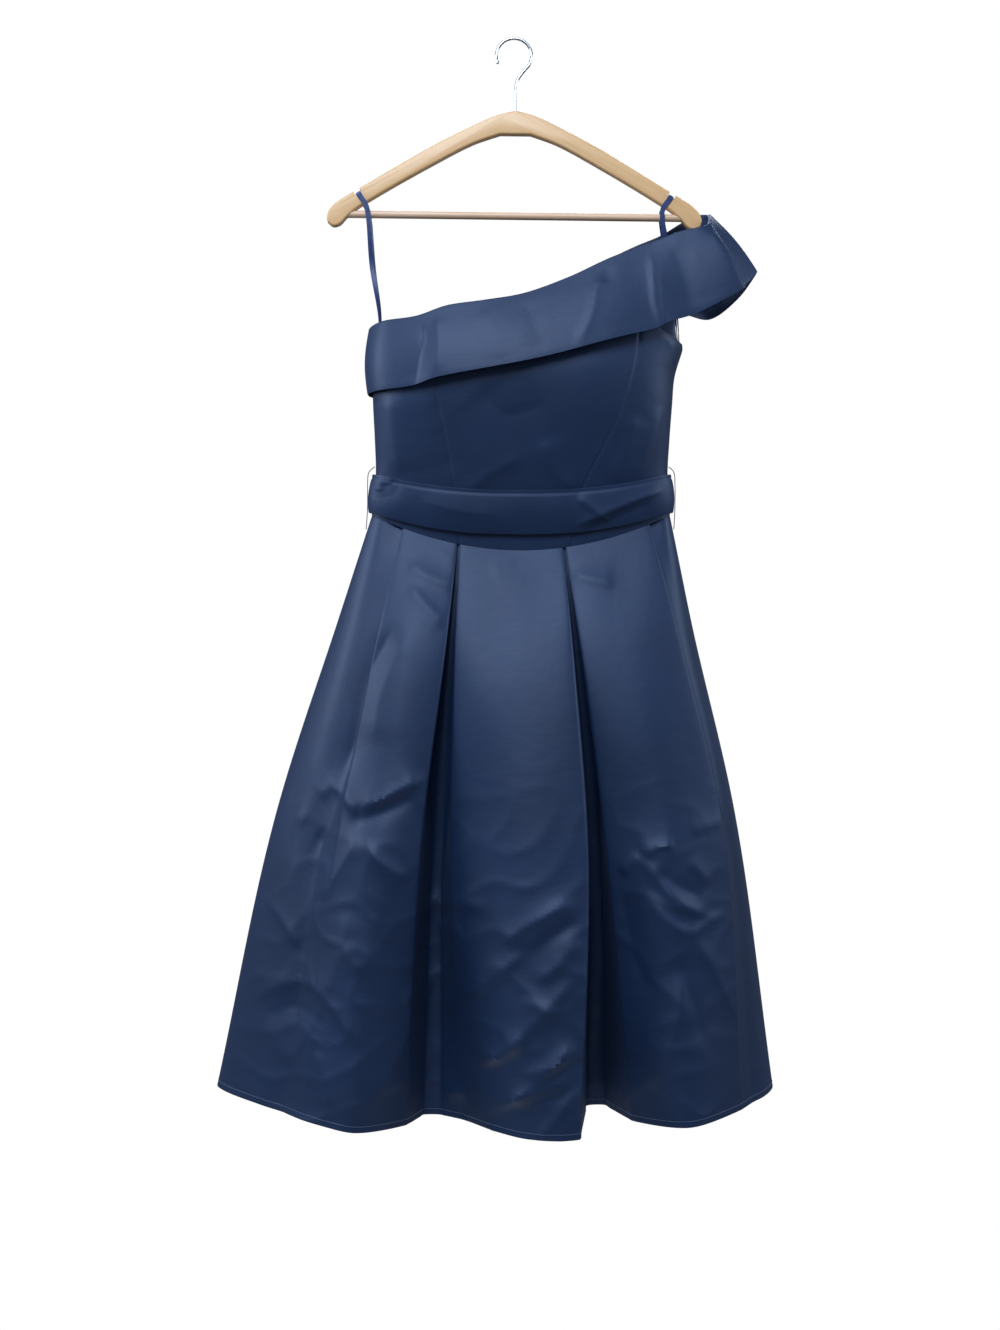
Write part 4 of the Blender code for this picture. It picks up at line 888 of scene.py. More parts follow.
# %% Skirt
SKIRT_LEVELS = (0.0, 0.18, 0.5, 1.0)
Fold = namedtuple("Fold", "name front faces waist_x hip thigh hem")
SKIRT = (
    Fold("bare_side_seam", True, 0, -0.168, (-0.207, 0.000), (-0.277, 0.000), (-0.351, 0.000)),
    Fold("bare_side", True, 0, -0.156, (-0.190, -0.036), (-0.246, -0.052), (-0.292, -0.064)),
    Fold("bare_side_underlay", True, 0, -0.136, (-0.166, -0.052), (-0.214, -0.074), (-0.262, -0.086)),
    Fold("bare_outer_lip", True, -1, -0.130, (-0.156, -0.068), (-0.195, -0.100), (-0.238, -0.112)),
    Fold("bare_panel", True, 0, -0.098, (-0.118, -0.080), (-0.150, -0.124), (-0.178, -0.150)),
    Fold("bare_inner_lip", True, 1, -0.0665, (-0.078, -0.077), (-0.104, -0.110), (-0.122, -0.108)),
    Fold("bare_underlay_outer", True, 0, -0.0656, (-0.076, -0.048), (-0.093, -0.052), (-0.104, -0.062)),
    Fold("bare_underlay_inner", True, 0, -0.0644, (-0.071, -0.048), (-0.081, -0.052), (-0.086, -0.060)),
    Fold("centre_bare_lip", True, -1, -0.0635, (-0.068, -0.074), (-0.072, -0.092), (-0.058, -0.080)),
    Fold("centre_panel", True, 0, -0.004, (-0.003, -0.084), (0.000, -0.130), (0.012, -0.160)),
    Fold("centre_shoulder_lip", True, 1, 0.0566, (0.066, -0.081), (0.080, -0.126), (0.070, -0.166)),
    Fold("shoulder_underlay_inner", True, 0, 0.0576, (0.068, -0.045), (0.083, -0.042), (0.085, -0.026)),
    Fold("shoulder_underlay_outer", True, 0, 0.0588, (0.074, -0.045), (0.097, -0.042), (0.105, -0.026)),
    Fold("shoulder_inner_lip", True, -1, 0.0598, (0.075, -0.076), (0.101, -0.094), (0.132, -0.098)),
    Fold("shoulder_panel", True, 0, 0.110, (0.130, -0.076), (0.166, -0.112), (0.190, -0.144)),
    Fold("shoulder_outer_lip", True, 1, 0.158, (0.186, -0.060), (0.233, -0.084), (0.256, -0.092)),
    Fold("shoulder_side_underlay", True, 0, 0.163, (0.190, -0.044), (0.240, -0.060), (0.272, -0.066)),
    Fold("shoulder_side", True, 0, 0.177, (0.200, -0.030), (0.250, -0.040), (0.290, -0.044)),
    Fold("shoulder_side_seam", False, 0, 0.184, (0.208, 0.000), (0.257, 0.000), (0.305, 0.000)),
    Fold("shoulder_back_side", False, 0, 0.173, (0.196, 0.028), (0.244, 0.044), (0.282, 0.056)),
    Fold("shoulder_back_hip", False, 0, 0.140, (0.158, 0.052), (0.196, 0.086), (0.228, 0.122)),
    Fold("shoulder_back_panel", False, 0, 0.108, (0.124, 0.064), (0.154, 0.102), (0.176, 0.134)),
    Fold("shoulder_back_outer_lip", False, 1, 0.0780, (0.092, 0.064), (0.116, 0.096), (0.128, 0.110)),
    Fold("shoulder_back_underlay_outer", False, 0, 0.0772, (0.089, 0.038), (0.109, 0.050), (0.114, 0.056)),
    Fold("shoulder_back_underlay_inner", False, 0, 0.0760, (0.083, 0.038), (0.096, 0.050), (0.096, 0.056)),
    Fold("shoulder_back_inner_lip", False, -1, 0.0752, (0.080, 0.064), (0.088, 0.090), (0.080, 0.090)),
    Fold("shoulder_back_centre", False, 0, 0.038, (0.040, 0.068), (0.042, 0.112), (0.034, 0.138)),
    Fold("centre_back_seam", False, 0, 0.008, (0.008, 0.068), (0.004, 0.114), (-0.004, 0.146)),
    Fold("bare_back_centre", False, 0, -0.022, (-0.024, 0.068), (-0.034, 0.112), (-0.044, 0.140)),
    Fold("bare_back_inner_lip", False, 1, -0.0592, (-0.064, 0.064), (-0.080, 0.092), (-0.092, 0.098)),
    Fold("bare_back_underlay_inner", False, 0, -0.0600, (-0.067, 0.038), (-0.087, 0.050), (-0.106, 0.058)),
    Fold("bare_back_underlay_outer", False, 0, -0.0612, (-0.073, 0.038), (-0.100, 0.050), (-0.126, 0.058)),
    Fold("bare_back_outer_lip", False, -1, -0.0620, (-0.076, 0.064), (-0.107, 0.096), (-0.138, 0.108)),
    Fold("bare_back_panel", False, 0, -0.092, (-0.112, 0.064), (-0.150, 0.102), (-0.188, 0.136)),
    Fold("bare_back_hip", False, 0, -0.124, (-0.150, 0.052), (-0.202, 0.086), (-0.250, 0.120)),
    Fold("bare_back_side", False, 0, -0.156, (-0.193, 0.028), (-0.254, 0.044), (-0.318, 0.056)),
)
HEM = -1.236
FRONT_HEM_SAG = 0.020
BACK_HEM_SAG = 0.010
PLEAT_RETURN = 0.027
PLEAT_OPEN_BY = 0.60
PLEAT_LOOSENS = 4.0
LAYER_PITCH = 0.0020
SKIRT_ROWS_ABOVE = 146
HEM_ROWS = 14
HEM_DEPTH = 0.015
SKIRT_HEM = 1.0 * MM
LIP_SPANS = (2, 3, 5, 3, 2)
COLUMN_WIDTH = 4.0 * MM
LEAST_STEPS = 6


def fold_places(row, t):
    """Plan places of a fold at each share of the way down."""
    waist = point_on_body(row.waist_x, WAIST, row.front)[:2]
    return read_curve(SKIRT_LEVELS, [waist, row.hip, row.thigh, row.hem], t)


def pleat_points(lip, panel, under, t, inward):
    """Points that turn the cloth back under a lip and on to its underlay, as a list of places."""
    openness = ease(t / PLEAT_OPEN_BY)[:, None]
    radius = LAYER_PITCH / 2.0 * (1.0 + PLEAT_LOOSENS * openness)
    back = unit(panel - lip)
    deep = np.stack([-back[:, 1], back[:, 0]], axis=1)
    deep = np.where(deep[:, 1:] * inward < 0.0, -deep, deep)
    nothing = np.zeros_like(radius)
    shut_points = (
        (radius, nothing),
        (nothing, radius),
        (radius, 2.0 * radius),
        (PLEAT_RETURN + nothing, 2.0 * radius),
        (PLEAT_RETURN + radius, 3.0 * radius),
        (PLEAT_RETURN + nothing, 4.0 * radius),
    )
    open_shares = (0.0, 0.08, 0.20, 0.45, 0.62, 0.80)
    points = []
    for (run, drop), share in zip(shut_points, open_shares):
        shut = lip + back * run + deep * drop
        points.append(shut * (1.0 - openness) + (lip + (under - lip) * share) * openness)
    return points


def steps_between(here, after):
    """How many columns a span gets, from its width at the hem."""
    return max(LEAST_STEPS, round(float(np.linalg.norm(after[-1] - here[-1])) / COLUMN_WIDTH))


def skirt_grid(t):
    """Middle surface of the whole skirt, the column where each fold starts, and each point's share across."""
    places = [fold_places(row, t) for row in SKIRT]
    points, steps, starts = [], [], []
    for i, row in enumerate(SKIRT):
        starts.append(sum(steps))
        after = (i + 1) % len(SKIRT)
        wide = steps_between(places[i], places[after])
        if row.faces:
            inward = 1.0 if row.front else -1.0
            group = pleat_points(places[i], places[i - row.faces], places[i + row.faces], t, inward)
            spans = list(LIP_SPANS)
            if row.faces < 0:
                group, spans = group[::-1], spans[::-1]
            points += group
            steps += spans + [LEAST_STEPS if row.faces > 0 else wide]
        else:
            place = places[i].copy()
            if "underlay" in row.name:
                place[:, 1] += 2.0 * LAYER_PITCH * (1.0 - t) ** 8 * (1.0 if row.front else -1.0)
            points.append(place)
            steps.append(LEAST_STEPS if SKIRT[after].faces < 0 else wide)
    at = np.concatenate([i + np.arange(count) / count for i, count in enumerate(steps)])
    table = np.stack(points, axis=1)
    rings = np.array([along_ring(table[j], at) for j in range(len(t))])
    seam = starts[FOLD_NAMES.index("shoulder_side_seam")]
    low, high = rings[:, :1, 0], rings[:, seam : seam + 1, 0]
    share = np.clip((rings[:, :, 0] - (low + high) / 2.0) / ((high - low) / 2.0), -1.0, 1.0)
    front = np.arange(rings.shape[1]) < seam
    waist_sag = np.where(front, FRONT_WAIST_SAG, BACK_WAIST_SAG)
    hem_sag = np.where(front, FRONT_HEM_SAG, BACK_HEM_SAG)
    down = t[:, None]
    dip = (waist_sag + (hem_sag - waist_sag) * down) * (1.0 - share**2)
    height = WAIST + (HEM - WAIST) * down - dip
    grid = np.concatenate([rings, height[:, :, None]], axis=2)
    grid[0, :, 2] -= SEAM_GAP / 2.0
    return grid, starts, share


FOLD_NAMES = [row.name for row in SKIRT]
hem_share = HEM_DEPTH / (WAIST - HEM)
skirt_t = np.append(
    np.linspace(0.0, 1.0 - hem_share, SKIRT_ROWS_ABOVE, endpoint=False),
    np.linspace(1.0 - hem_share, 1.0, HEM_ROWS),
)
skirt_smooth, skirt_starts, skirt_share = skirt_grid(skirt_t)
SIDE_COLUMN = skirt_starts[FOLD_NAMES.index("shoulder_side_seam")]
CENTRE_BACK_COLUMN = skirt_starts[FOLD_NAMES.index("centre_back_seam")]
print("skirt grid", skirt_smooth.shape[:2])

# %% [markdown]
# The skirt's creases were read from the photograph one by one and turned into millimetres. Most are
# short and slanted, and lie below the knee, where the cloth was crushed in storage. The hidden back
# gets similar ones of its own, since a plain back would look like a different cloth.

# %% Skirt creases
SKIRT_CREASES = (
    Crease("high_bare_1", ((-109, -594), (-84, -610), (-64, -621)), 1.3, 7, 0.3),
    Crease("high_bare_2", ((-124, -623), (-95, -640), (-67, -651)), 1.6, 8, 0.3),
    Crease("high_bare_3", ((-121, -648), (-100, -672), (-77, -693)), 1.7, 8, -0.3),
    Crease("long_trough", ((-136, -690), (-170, -762), (-185, -834), (-202, -870)), -4.6, 17, 0.25),
    Crease("beside_trough", ((-118, -700), (-150, -770), (-160, -830)), 2.2, 20, 0.0),
    Crease("knee_bare_1", ((-223, -890), (-202, -872)), 2.2, 7, 0.3),
    Crease("knee_bare_2", ((-206, -875), (-190, -892), (-175, -904)), 2.8, 6, 0.4),
    Crease("knee_bare_3", ((-177, -901), (-140, -886), (-100, -865)), 3.4, 8, 0.45),
    Crease("knee_bare_hollow", ((-190, -918), (-150, -905), (-110, -885)), -2.6, 10, 0.0),
    Crease("low_bare_1", ((-175, -929), (-150, -955), (-117, -978)), 3.0, 8, -0.4),
    Crease("low_bare_2", ((-175, -929), (-198, -968), (-220, -1006)), 2.6, 7, 0.4),
    Crease("low_bare_blob_1", ((-253, -912), (-247, -916), (-240, -921)), 2.0, 12, 0.0),
    Crease("low_bare_blob_2", ((-226, -935), (-221, -938), (-214, -942)), -2.0, 11, 0.0),
    Crease("outer_bare_1", ((-288, -1010), (-265, -1034), (-243, -1061)), 2.7, 8, 0.3),
    Crease("outer_bare_2", ((-190, -1052), (-182, -1063), (-170, -1078)), 2.2, 9, 0.0),
    Crease("corner_bare", ((-305, -1128), (-268, -1106), (-227, -1100), (-166, -1162)), 3.2, 9, 0.4),
    Crease("corner_bare_hollow", ((-290, -1146), (-245, -1126), (-205, -1142)), -2.4, 12, 0.0),
    Crease("hem_bare", ((-221, -1167), (-212, -1200), (-204, -1229)), 2.4, 9, 0.3),
    Crease("inner_bare_1", ((-112, -1025), (-87, -1014), (-58, -1008), (-28, -1010)), 2.6, 7, 0.45),
    Crease("inner_bare_2", ((-89, -1043), (-57, -1038)), 1.7, 6, 0.2),
    Crease("inner_bare_3", ((-126, -1116), (-100, -1100), (-80, -1091)), 2.4, 7, 0.3),
    Crease("inner_bare_4", ((-80, -1230), (-55, -1222)), 1.9, 8, 0.0),
    Crease("high_centre_1", ((-29, -611), (-4, -620), (-29, -632)), 1.4, 7, 0.2),
    Crease("centre_1", ((-16, -1047), (24, -1020), (70, -999)), 3.2, 8, 0.45),
    Crease("centre_1_hollow", ((-6, -1064), (34, -1038), (72, -1018)), -2.2, 9, 0.0),
    Crease("centre_2", ((24, -1087), (50, -1066), (72, -1040)), 2.6, 7, 0.4),
    Crease("centre_3", ((7, -1105), (28, -1112), (49, -1123)), 2.0, 7, -0.3),
    Crease("centre_4", ((-36, -1183), (-10, -1166), (14, -1144)), 2.4, 8, 0.3),
    Crease("centre_5", ((7, -1188), (40, -1176), (70, -1157)), 2.6, 7, 0.4),
    Crease("centre_6", ((-11, -1218), (28, -1204), (65, -1186)), 2.8, 8, 0.4),
    Crease("centre_7", ((22, -1257), (48, -1226), (70, -1197)), 2.2, 8, -0.3),
    Crease("long_plane_1", ((-62, -1122), (-10, -1072), (66, -1004)), 3.0, 9, 0.4),
    Crease("long_plane_2", ((-48, -1192), (10, -1142), (70, -1078)), 3.0, 9, 0.4),
    Crease("long_plane_3", ((-30, -1236), (22, -1196), (72, -1142)), 2.8, 8, 0.4),
    Crease("long_plane_4", ((-262, -1196), (-232, -1150), (-214, -1118)), 2.4, 16, 0.3),
    Crease("long_plane_5", ((-184, -1010), (-196, -1060), (-214, -1112)), 2.4, 18, 0.3),
    Crease("long_plane_6", ((-150, -1216), (-118, -1150), (-92, -1096)), 2.6, 10, 0.35),
    Crease("long_plane_7", ((152, -1210), (176, -1140), (190, -1078)), 2.6, 12, 0.3),
    Crease("long_plane_8", ((120, -985), (132, -1050), (150, -1110)), -2.4, 18, 0.0),
    Crease("high_shoulder_1", ((67, -634), (92, -642), (115, -646)), 1.6, 8, 0.3),
    Crease("knee_shoulder_1", ((196, -926), (218, -920), (239, -917)), 2.2, 7, 0.3),
    Crease("knee_shoulder_2", ((142, -951), (160, -943), (179, -941)), 3.0, 7, 0.4),
    Crease("knee_shoulder_3", ((141, -952), (128, -962), (119, -973)), 2.4, 6, 0.3),
    Crease("knee_shoulder_4", ((141, -952), (160, -980), (181, -1003), (222, -1022)), 3.2, 7, 0.4),
    Crease(
        "knee_shoulder_5",
        ((144, -994), (177, -1029), (196, -1035), (224, -1022), (244, -1016)),
        3.0,
        7,
        -0.4,
    ),
    Crease("knee_shoulder_hollow", ((158, -968), (182, -985), (212, -1000)), -2.6, 10, 0.0),
    Crease("knee_shoulder_6", ((192, -957), (206, -970), (218, -985)), 2.2, 7, 0.3),
    Crease("low_shoulder", ((200, -1043), (228, -1090), (252, -1142)), 2.8, 9, 0.35),
    Crease("low_shoulder_hollow", ((176, -1060), (196, -1110), (210, -1160)), -2.4, 14, 0.0),
)
BACK_SKIRT_CREASES = (
    Crease("back_high_1", ((-110, -640), (-84, -655), (-60, -668)), 1.6, 8, 0.3),
    Crease("back_high_2", ((90, -700), (120, -718), (150, -728)), 1.7, 8, -0.3),
    Crease("back_trough", ((150, -720), (176, -800), (186, -880)), -3.6, 16, 0.2),
    Crease("back_knee_1", ((-160, -880), (-128, -900), (-96, -910)), 2.8, 8, 0.4),
    Crease("back_knee_2", ((-96, -910), (-60, -938), (-30, -972)), 2.6, 7, -0.4),
    Crease("back_knee_3", ((40, -900), (70, -880), (104, -872)), 2.6, 8, 0.3),
    Crease("back_low_1", ((-240, -1010), (-206, -1034), (-176, -1070)), 2.8, 9, 0.3),
    Crease("back_low_2", ((-140, -1060), (-108, -1038), (-70, -1030)), 2.8, 7, 0.4),
    Crease("back_low_3", ((-30, -1100), (4, -1080), (34, -1052)), 2.6, 8, 0.4),
    Crease("back_low_4", ((60, -1010), (92, -1038), (128, -1050)), 3.0, 8, -0.4),
    Crease("back_low_5", ((150, -1090), (182, -1072), (222, -1068)), 2.6, 8, 0.3),
    Crease("back_hem_1", ((-200, -1180), (-160, -1166), (-120, -1160)), 2.6, 9, 0.3),
    Crease("back_hem_2", ((-40, -1200), (0, -1180), (36, -1172)), 2.4, 8, -0.3),
    Crease("back_hem_3", ((100, -1190), (140, -1164), (180, -1150)), 2.6, 9, 0.4),
)
SKIRT_SEEDS = {True: (31, 33), False: (32, 34)}
CRUSHED_FROM = 0.80
CRUSHED_OVER = 0.22


def skirt_lift(x, z, front):
    """How far the skirt's cloth stands out at each place, the same for each of its layers."""
    soft_seed, crisp_seed = SKIRT_SEEDS[front]
    crushed = ease((-z - CRUSHED_FROM) / CRUSHED_OVER)
    lift = crease_height(SKIRT_CREASES if front else BACK_SKIRT_CREASES, x, z)
    lift += ripple(x, z, soft_seed, 0.24, 0.06, 1.2 * MM, upright=1.4) * (1.0 + 1.2 * crushed)
    return lift + crumple(x, z, crisp_seed, 0.12, 2.0 * MM) * crushed


skirt_front_side = np.arange(skirt_smooth.shape[1]) < SIDE_COLUMN
skirt_x, skirt_z = skirt_smooth[:, :, 0], skirt_smooth[:, :, 2]
front_lift, back_lift = skirt_lift(skirt_x, skirt_z, True), skirt_lift(skirt_x, skirt_z, False)
skirt_out = np.where(skirt_front_side, -front_lift, back_lift)
skirt_fade = (1.0 - np.abs(skirt_share) ** 6) * ease(skirt_t / 0.07)[:, None]
skirt = skirt_smooth.copy()
skirt[:, :, 1] += skirt_out * skirt_fade
skirt_facing = facing_of(skirt, closed=True)
skirt_facing[0] = unit(skirt_facing[0] * (1.0, 1.0, 0.0))
from_hem = (1.0 - skirt_t) * (WAIST - HEM)
skirt_hem = SKIRT_HEM * (1.0 - ease((from_hem - HEM_DEPTH * 0.8) / (HEM_DEPTH * 0.2)))
FRONT_PANELS = ["bodice_side_front_bare", "bodice_centre_front", "bodice_side_front_shoulder"]
SKIRT_NODES = (
    ("skirt_front", 0, SIDE_COLUMN, FRONT_PANELS),
    ("skirt_back_shoulder_side", SIDE_COLUMN, CENTRE_BACK_COLUMN, ["bodice_back_shoulder_side"]),
    ("skirt_back_bare_side", CENTRE_BACK_COLUMN, skirt.shape[1], ["bodice_back_bare_side"]),
)
for node, first, last, held_by in SKIRT_NODES:
    grid, out = cut(skirt, skirt_facing, first, last)
    piece = shell(node + "_satin", roll_edges(grid, out), out, node, hem=skirt_hem)

# %% [markdown]
# The belt is a loose sash of the same satin, doubled, so it is thicker than the rest. It hangs in
# the thread loops at the side seams and sags in front, and its ends lap at the back. A belt point
# is wanted at a true height, but the body's waist sags, so the height is found by trying until it
# settles.

# %% Belt
BELT_TOP = -0.5150
BELT_SIDE_WIDTH = 0.0440
BELT_FRONT_WIDTH = 0.0500
BELT_FRONT_SAG = 0.0225
BELT_BACK_SAG = 0.0060
BELT_STAND_OFF = 0.0035
BELT_BULGE = 0.0030
BELT_START = 1.62
BELT_LAP = 0.13
BELT_LIFT = 0.0028
BELT_THICKNESS = 1.8 * MM
BELT_CREASES = (
    Crease("belt_pinch", ((-157, -532), (-140, -532), (-152, -538), (-169, -540)), -1.6, 6, 0.2),
    Crease("belt_pinch_above", ((-166, -524), (-140, -526)), 1.2, 6, 0.0),
    Crease("belt_long_fold", ((67, -580), (92, -569), (117, -558), (174, -535)), 1.9, 6, 0.45),
    Crease("belt_long_hollow", ((80, -585), (120, -568), (160, -550)), -1.2, 7, 0.0),
    Crease("belt_cross_fold", ((72, -545), (92, -560), (112, -575)), 1.4, 6, 0.3),
    Crease("belt_soft_bare", ((-110, -548), (-60, -562), (-20, -566)), 0.9, 12, 0.2),
)
BELT_ROLL_DOWN = 0.0042


def round_body(place, z, outward):
    """Points round the body at true heights: place runs 0 to 1 across the front and 1 to 2 behind."""
    place = place % 2.0
    turn = np.where(place < 1.0, place, 2.0 - place)
    across = across_at(turn)
    sides = []
    for front in (True, False):
        height = z
        for _ in range(40):
            height = z + sag(across, height, front)
        sides.append(body_point(turn, np.maximum(height, WAIST), front, outward))
    return np.where((place < 1.0)[..., None], *sides)


def belt_grid(columns, rows):
    """Middle surface of the belt, from its inner end round to the outer one."""
    place = BELT_START + (2.0 + BELT_LAP) * np.linspace(0.0, 1.0, columns)
    front = place % 2.0 < 1.0
    middle = np.sin(math.pi * (place % 2.0)) ** 2
    top = BELT_TOP - np.where(front, BELT_FRONT_SAG, BELT_BACK_SAG) * middle
    width = BELT_SIDE_WIDTH + (BELT_FRONT_WIDTH - BELT_SIDE_WIDTH) * np.where(front, middle, 0.0)
    lift = BELT_LIFT * ease((place - BELT_START - 1.75) / 0.2)
    down = np.linspace(0.0, 1.0, rows)[:, None]
    outward = BELT_STAND_OFF + lift + BELT_BULGE * (1.0 - (2.0 * down - 1.0) ** 2)
    return round_body(np.broadcast_to(place, outward.shape), top - width * down, outward), front, middle


belt_smooth, belt_front, belt_middle = belt_grid(380, 30)
belt_x, belt_z = belt_smooth[:, :, 0], belt_smooth[:, :, 2]
belt_run = lengths_along(belt_smooth, 0)
top_roll = 0.9 * MM * np.exp(-(((belt_run - BELT_ROLL_DOWN) / (1.4 * MM)) ** 2))
belt_lift = np.where(belt_front, crease_height(BELT_CREASES, belt_x, belt_z), 0.0)
belt_lift += np.where(belt_front, ripple(belt_x, belt_z, 41, 0.12, 0.035, 0.7 * MM), 0.0)
belt_lift = np.maximum(belt_lift, -1.4 * MM) * ease(belt_middle / 0.25) - top_roll
belt = belt_smooth + facing_of(belt_smooth) * belt_lift[:, :, None]
piece = shell("belt_satin", belt, facing_of(belt), "belt", thickness=BELT_THICKNESS)

# %% [markdown]
# Thread, ribbon, wood and steel need materials of their own. Beech has short fine flecks along its
# grain, and the arms were cut so that the grain follows each one down. Folding the X axis about the
# middle gives both arms the same slope, and turning the coordinates by that slope lays the grain
# along them.

# %% Other materials
# The pale thread colour paints a highlight line along the hem's fold; the belt loops' thread is the cloth's
# own navy.
THREAD_DARK, THREAD_PAINTED_HIGHLIGHT, ZIP_NAVY = "#25345c", "#5a6788", "#1a2745"
ARM_SLOPE = math.radians(31.0)
GRAIN_STRETCH = (9.0, 120.0, 190.0)
FLECK_STRETCH = (40.0, 420.0, 700.0)


def plain(name, colour, roughness, metallic=0.0, sheen=0.0):
    """One colour with a faint unevenness."""
    material, tree, shader = new_material(name)
    place = add(tree, "ShaderNodeTexCoord").outputs["Object"]
    noise = add(tree, "ShaderNodeTexNoise", {"Vector": place, "Scale": 260.0, "Detail": 2.0})
    rough = add(tree, "ShaderNodeMapRange", {"Value": noise.outputs["Fac"]})
    rough.inputs["To Min"].default_value = roughness - 0.06
    rough.inputs["To Max"].default_value = roughness + 0.06
    tree.links.new(rough.outputs["Result"], shader.inputs["Roughness"])
    shader.inputs["Base Color"].default_value = linear(colour)
    shader.inputs["Metallic"].default_value = metallic
    shader.inputs["Sheen Weight"].default_value = sheen
    return material


def beech(name, light, dark, slope, roughness):
    """Lacquered beech with its grain along a slope, the same on both sides of the middle."""
    material, tree, shader = new_material(name)
    place = add(tree, "ShaderNodeTexCoord").outputs["Object"]
    split = add(tree, "ShaderNodeSeparateXYZ", {"Vector": place}).outputs
    away = add(tree, "ShaderNodeMath", {0: split["X"]}, operation="ABSOLUTE").outputs["Value"]
    folded = add(tree, "ShaderNodeCombineXYZ", {"X": away, "Y": split["Y"], "Z": split["Z"]})
    turned = {"Vector": folded.outputs["Vector"], "Rotation": (0.0, -slope, 0.0)}
    lying = add(tree, "ShaderNodeMapping", turned).outputs["Vector"]
    wide = add(tree, "ShaderNodeMapping", {"Vector": lying, "Scale": GRAIN_STRETCH}).outputs["Vector"]
    fine = add(tree, "ShaderNodeMapping", {"Vector": lying, "Scale": FLECK_STRETCH}).outputs["Vector"]
    grain = add(tree, "ShaderNodeTexNoise", {"Vector": wide, "Scale": 1.0, "Detail": 4.0, "Distortion": 0.5})
    flecks = add(tree, "ShaderNodeTexNoise", {"Vector": fine, "Scale": 1.0, "Detail": 2.0})
    both = add(
        tree,
        "ShaderNodeMix",
        {"Factor": 0.35, MIX_A: grain.outputs["Fac"], MIX_B: flecks.outputs["Fac"]},
        data_type="FLOAT",
    )
    ramp = add(tree, "ShaderNodeMapRange", {"From Min": 0.32, "From Max": 0.68, "Value": both.outputs[0]})
    tones = {"Factor": ramp.outputs["Result"], TONE_A: linear(dark), TONE_B: linear(light)}
    mix = add(tree, "ShaderNodeMix", tones, data_type="RGBA")
    tree.links.new(mix.outputs[TONE_RESULT], shader.inputs["Base Color"])
    bump = add(tree, "ShaderNodeBump", {"Height": both.outputs[0], "Strength": 0.15, "Distance": 0.15 * MM})
    tree.links.new(bump.outputs["Normal"], shader.inputs["Normal"])
    shader.inputs["Roughness"].default_value = roughness
    shader.inputs["Coat Weight"].default_value = 0.25
    shader.inputs["Coat Roughness"].default_value = 0.25
    return material


THREAD = plain("polyester_thread_navy", THREAD_DARK, 0.55, sheen=0.3)
# The hem's stitches are real, but their pale thread is a painted highlight along the hem's fold.
HEM_THREAD_PAINTED_HIGHLIGHT = plain("polyester_thread_pale_navy_painted_hem_highlight", THREAD_PAINTED_HIGHLIGHT, 0.50, sheen=0.3)
ZIP_TAPE = plain("woven_nylon_tape_navy", ZIP_NAVY, 0.62, sheen=0.2)
ARM_BEECH = beech("lacquered_beech_honey", "#e6bd8c", "#d8aa74", ARM_SLOPE, 0.36)
BAR_BEECH = beech("turned_beech_pale_pink", "#e6c4a6", "#d5ab8a", 0.0, 0.42)
STEEL = plain("chromed_steel_wire", "#c9ccd0", 0.22, metallic=1.0)
print("materials", len(bpy.data.materials))

# %% [markdown]
# Two ribbon loops hang the dress from notches in the hanger's arms. Each is one ribbon folded in
# half: its ends are sewn to the side seam, and its strands rise, turn a quarter round and pass over
# the arm in the notch.

# %% Hanger loops
HANGER_SHIFT = 0.003
HANGER_TILT = math.radians(0.7)
HANGER_THICKNESS = 0.012
ARM_UPPER_EDGE = (
    (0.0000, -0.0850),
    (0.0220, -0.0905),
    (0.0600, -0.1080),
    (0.1000, -0.1290),
    (0.1350, -0.1495),
    (0.1700, -0.1705),
    (0.1950, -0.1855),
    (0.2110, -0.1960),
    (0.2190, -0.2050),
    (0.2218, -0.2130),
)
ARM_LOWER_EDGE = (
    (0.2205, -0.2190),
    (0.2140, -0.2235),
    (0.2060, -0.2215),
    (0.1980, -0.2130),
    (0.1880, -0.2040),
    (0.1600, -0.1860),
    (0.0980, -0.1500),
    (0.0500, -0.1245),
    (0.0180, -0.1130),
)
NOTCH_X = 0.1870
NOTCH_DEPTH = 0.0050
RIBBON_WIDTH = 0.0060
RIBBON_THICKNESS = 0.0010
RIBBON_FOOT_TOP = -0.3760
RIBBON_FOOT_BOTTOM = -0.3900
RIBBON_STRANDS_APART = 0.0017
RIBBON_SLACK = 0.0004
CAD_WALL = 0.0012
QUARTER_TURN_FROM = 0.026
QUARTER_TURN_ENDS = 0.016
TURNS_LEVEL_FROM = 0.018
TURNS_LEVEL_OVER = 0.030


def hung(x, y, z):
    """A point of the hanger, drawn about its own centre, where it hangs."""
    cosine, sine = math.cos(HANGER_TILT), math.sin(HANGER_TILT)
    return np.array([(x + HANGER_SHIFT) * cosine + z * sine, y, z * cosine - (x + HANGER_SHIFT) * sine])


def upper_edge_at(x):
    """Height of the arms' upper edge at x."""
    return float(read_curve([p[0] for p in ARM_UPPER_EDGE], [p[1] for p in ARM_UPPER_EDGE], x)[0])


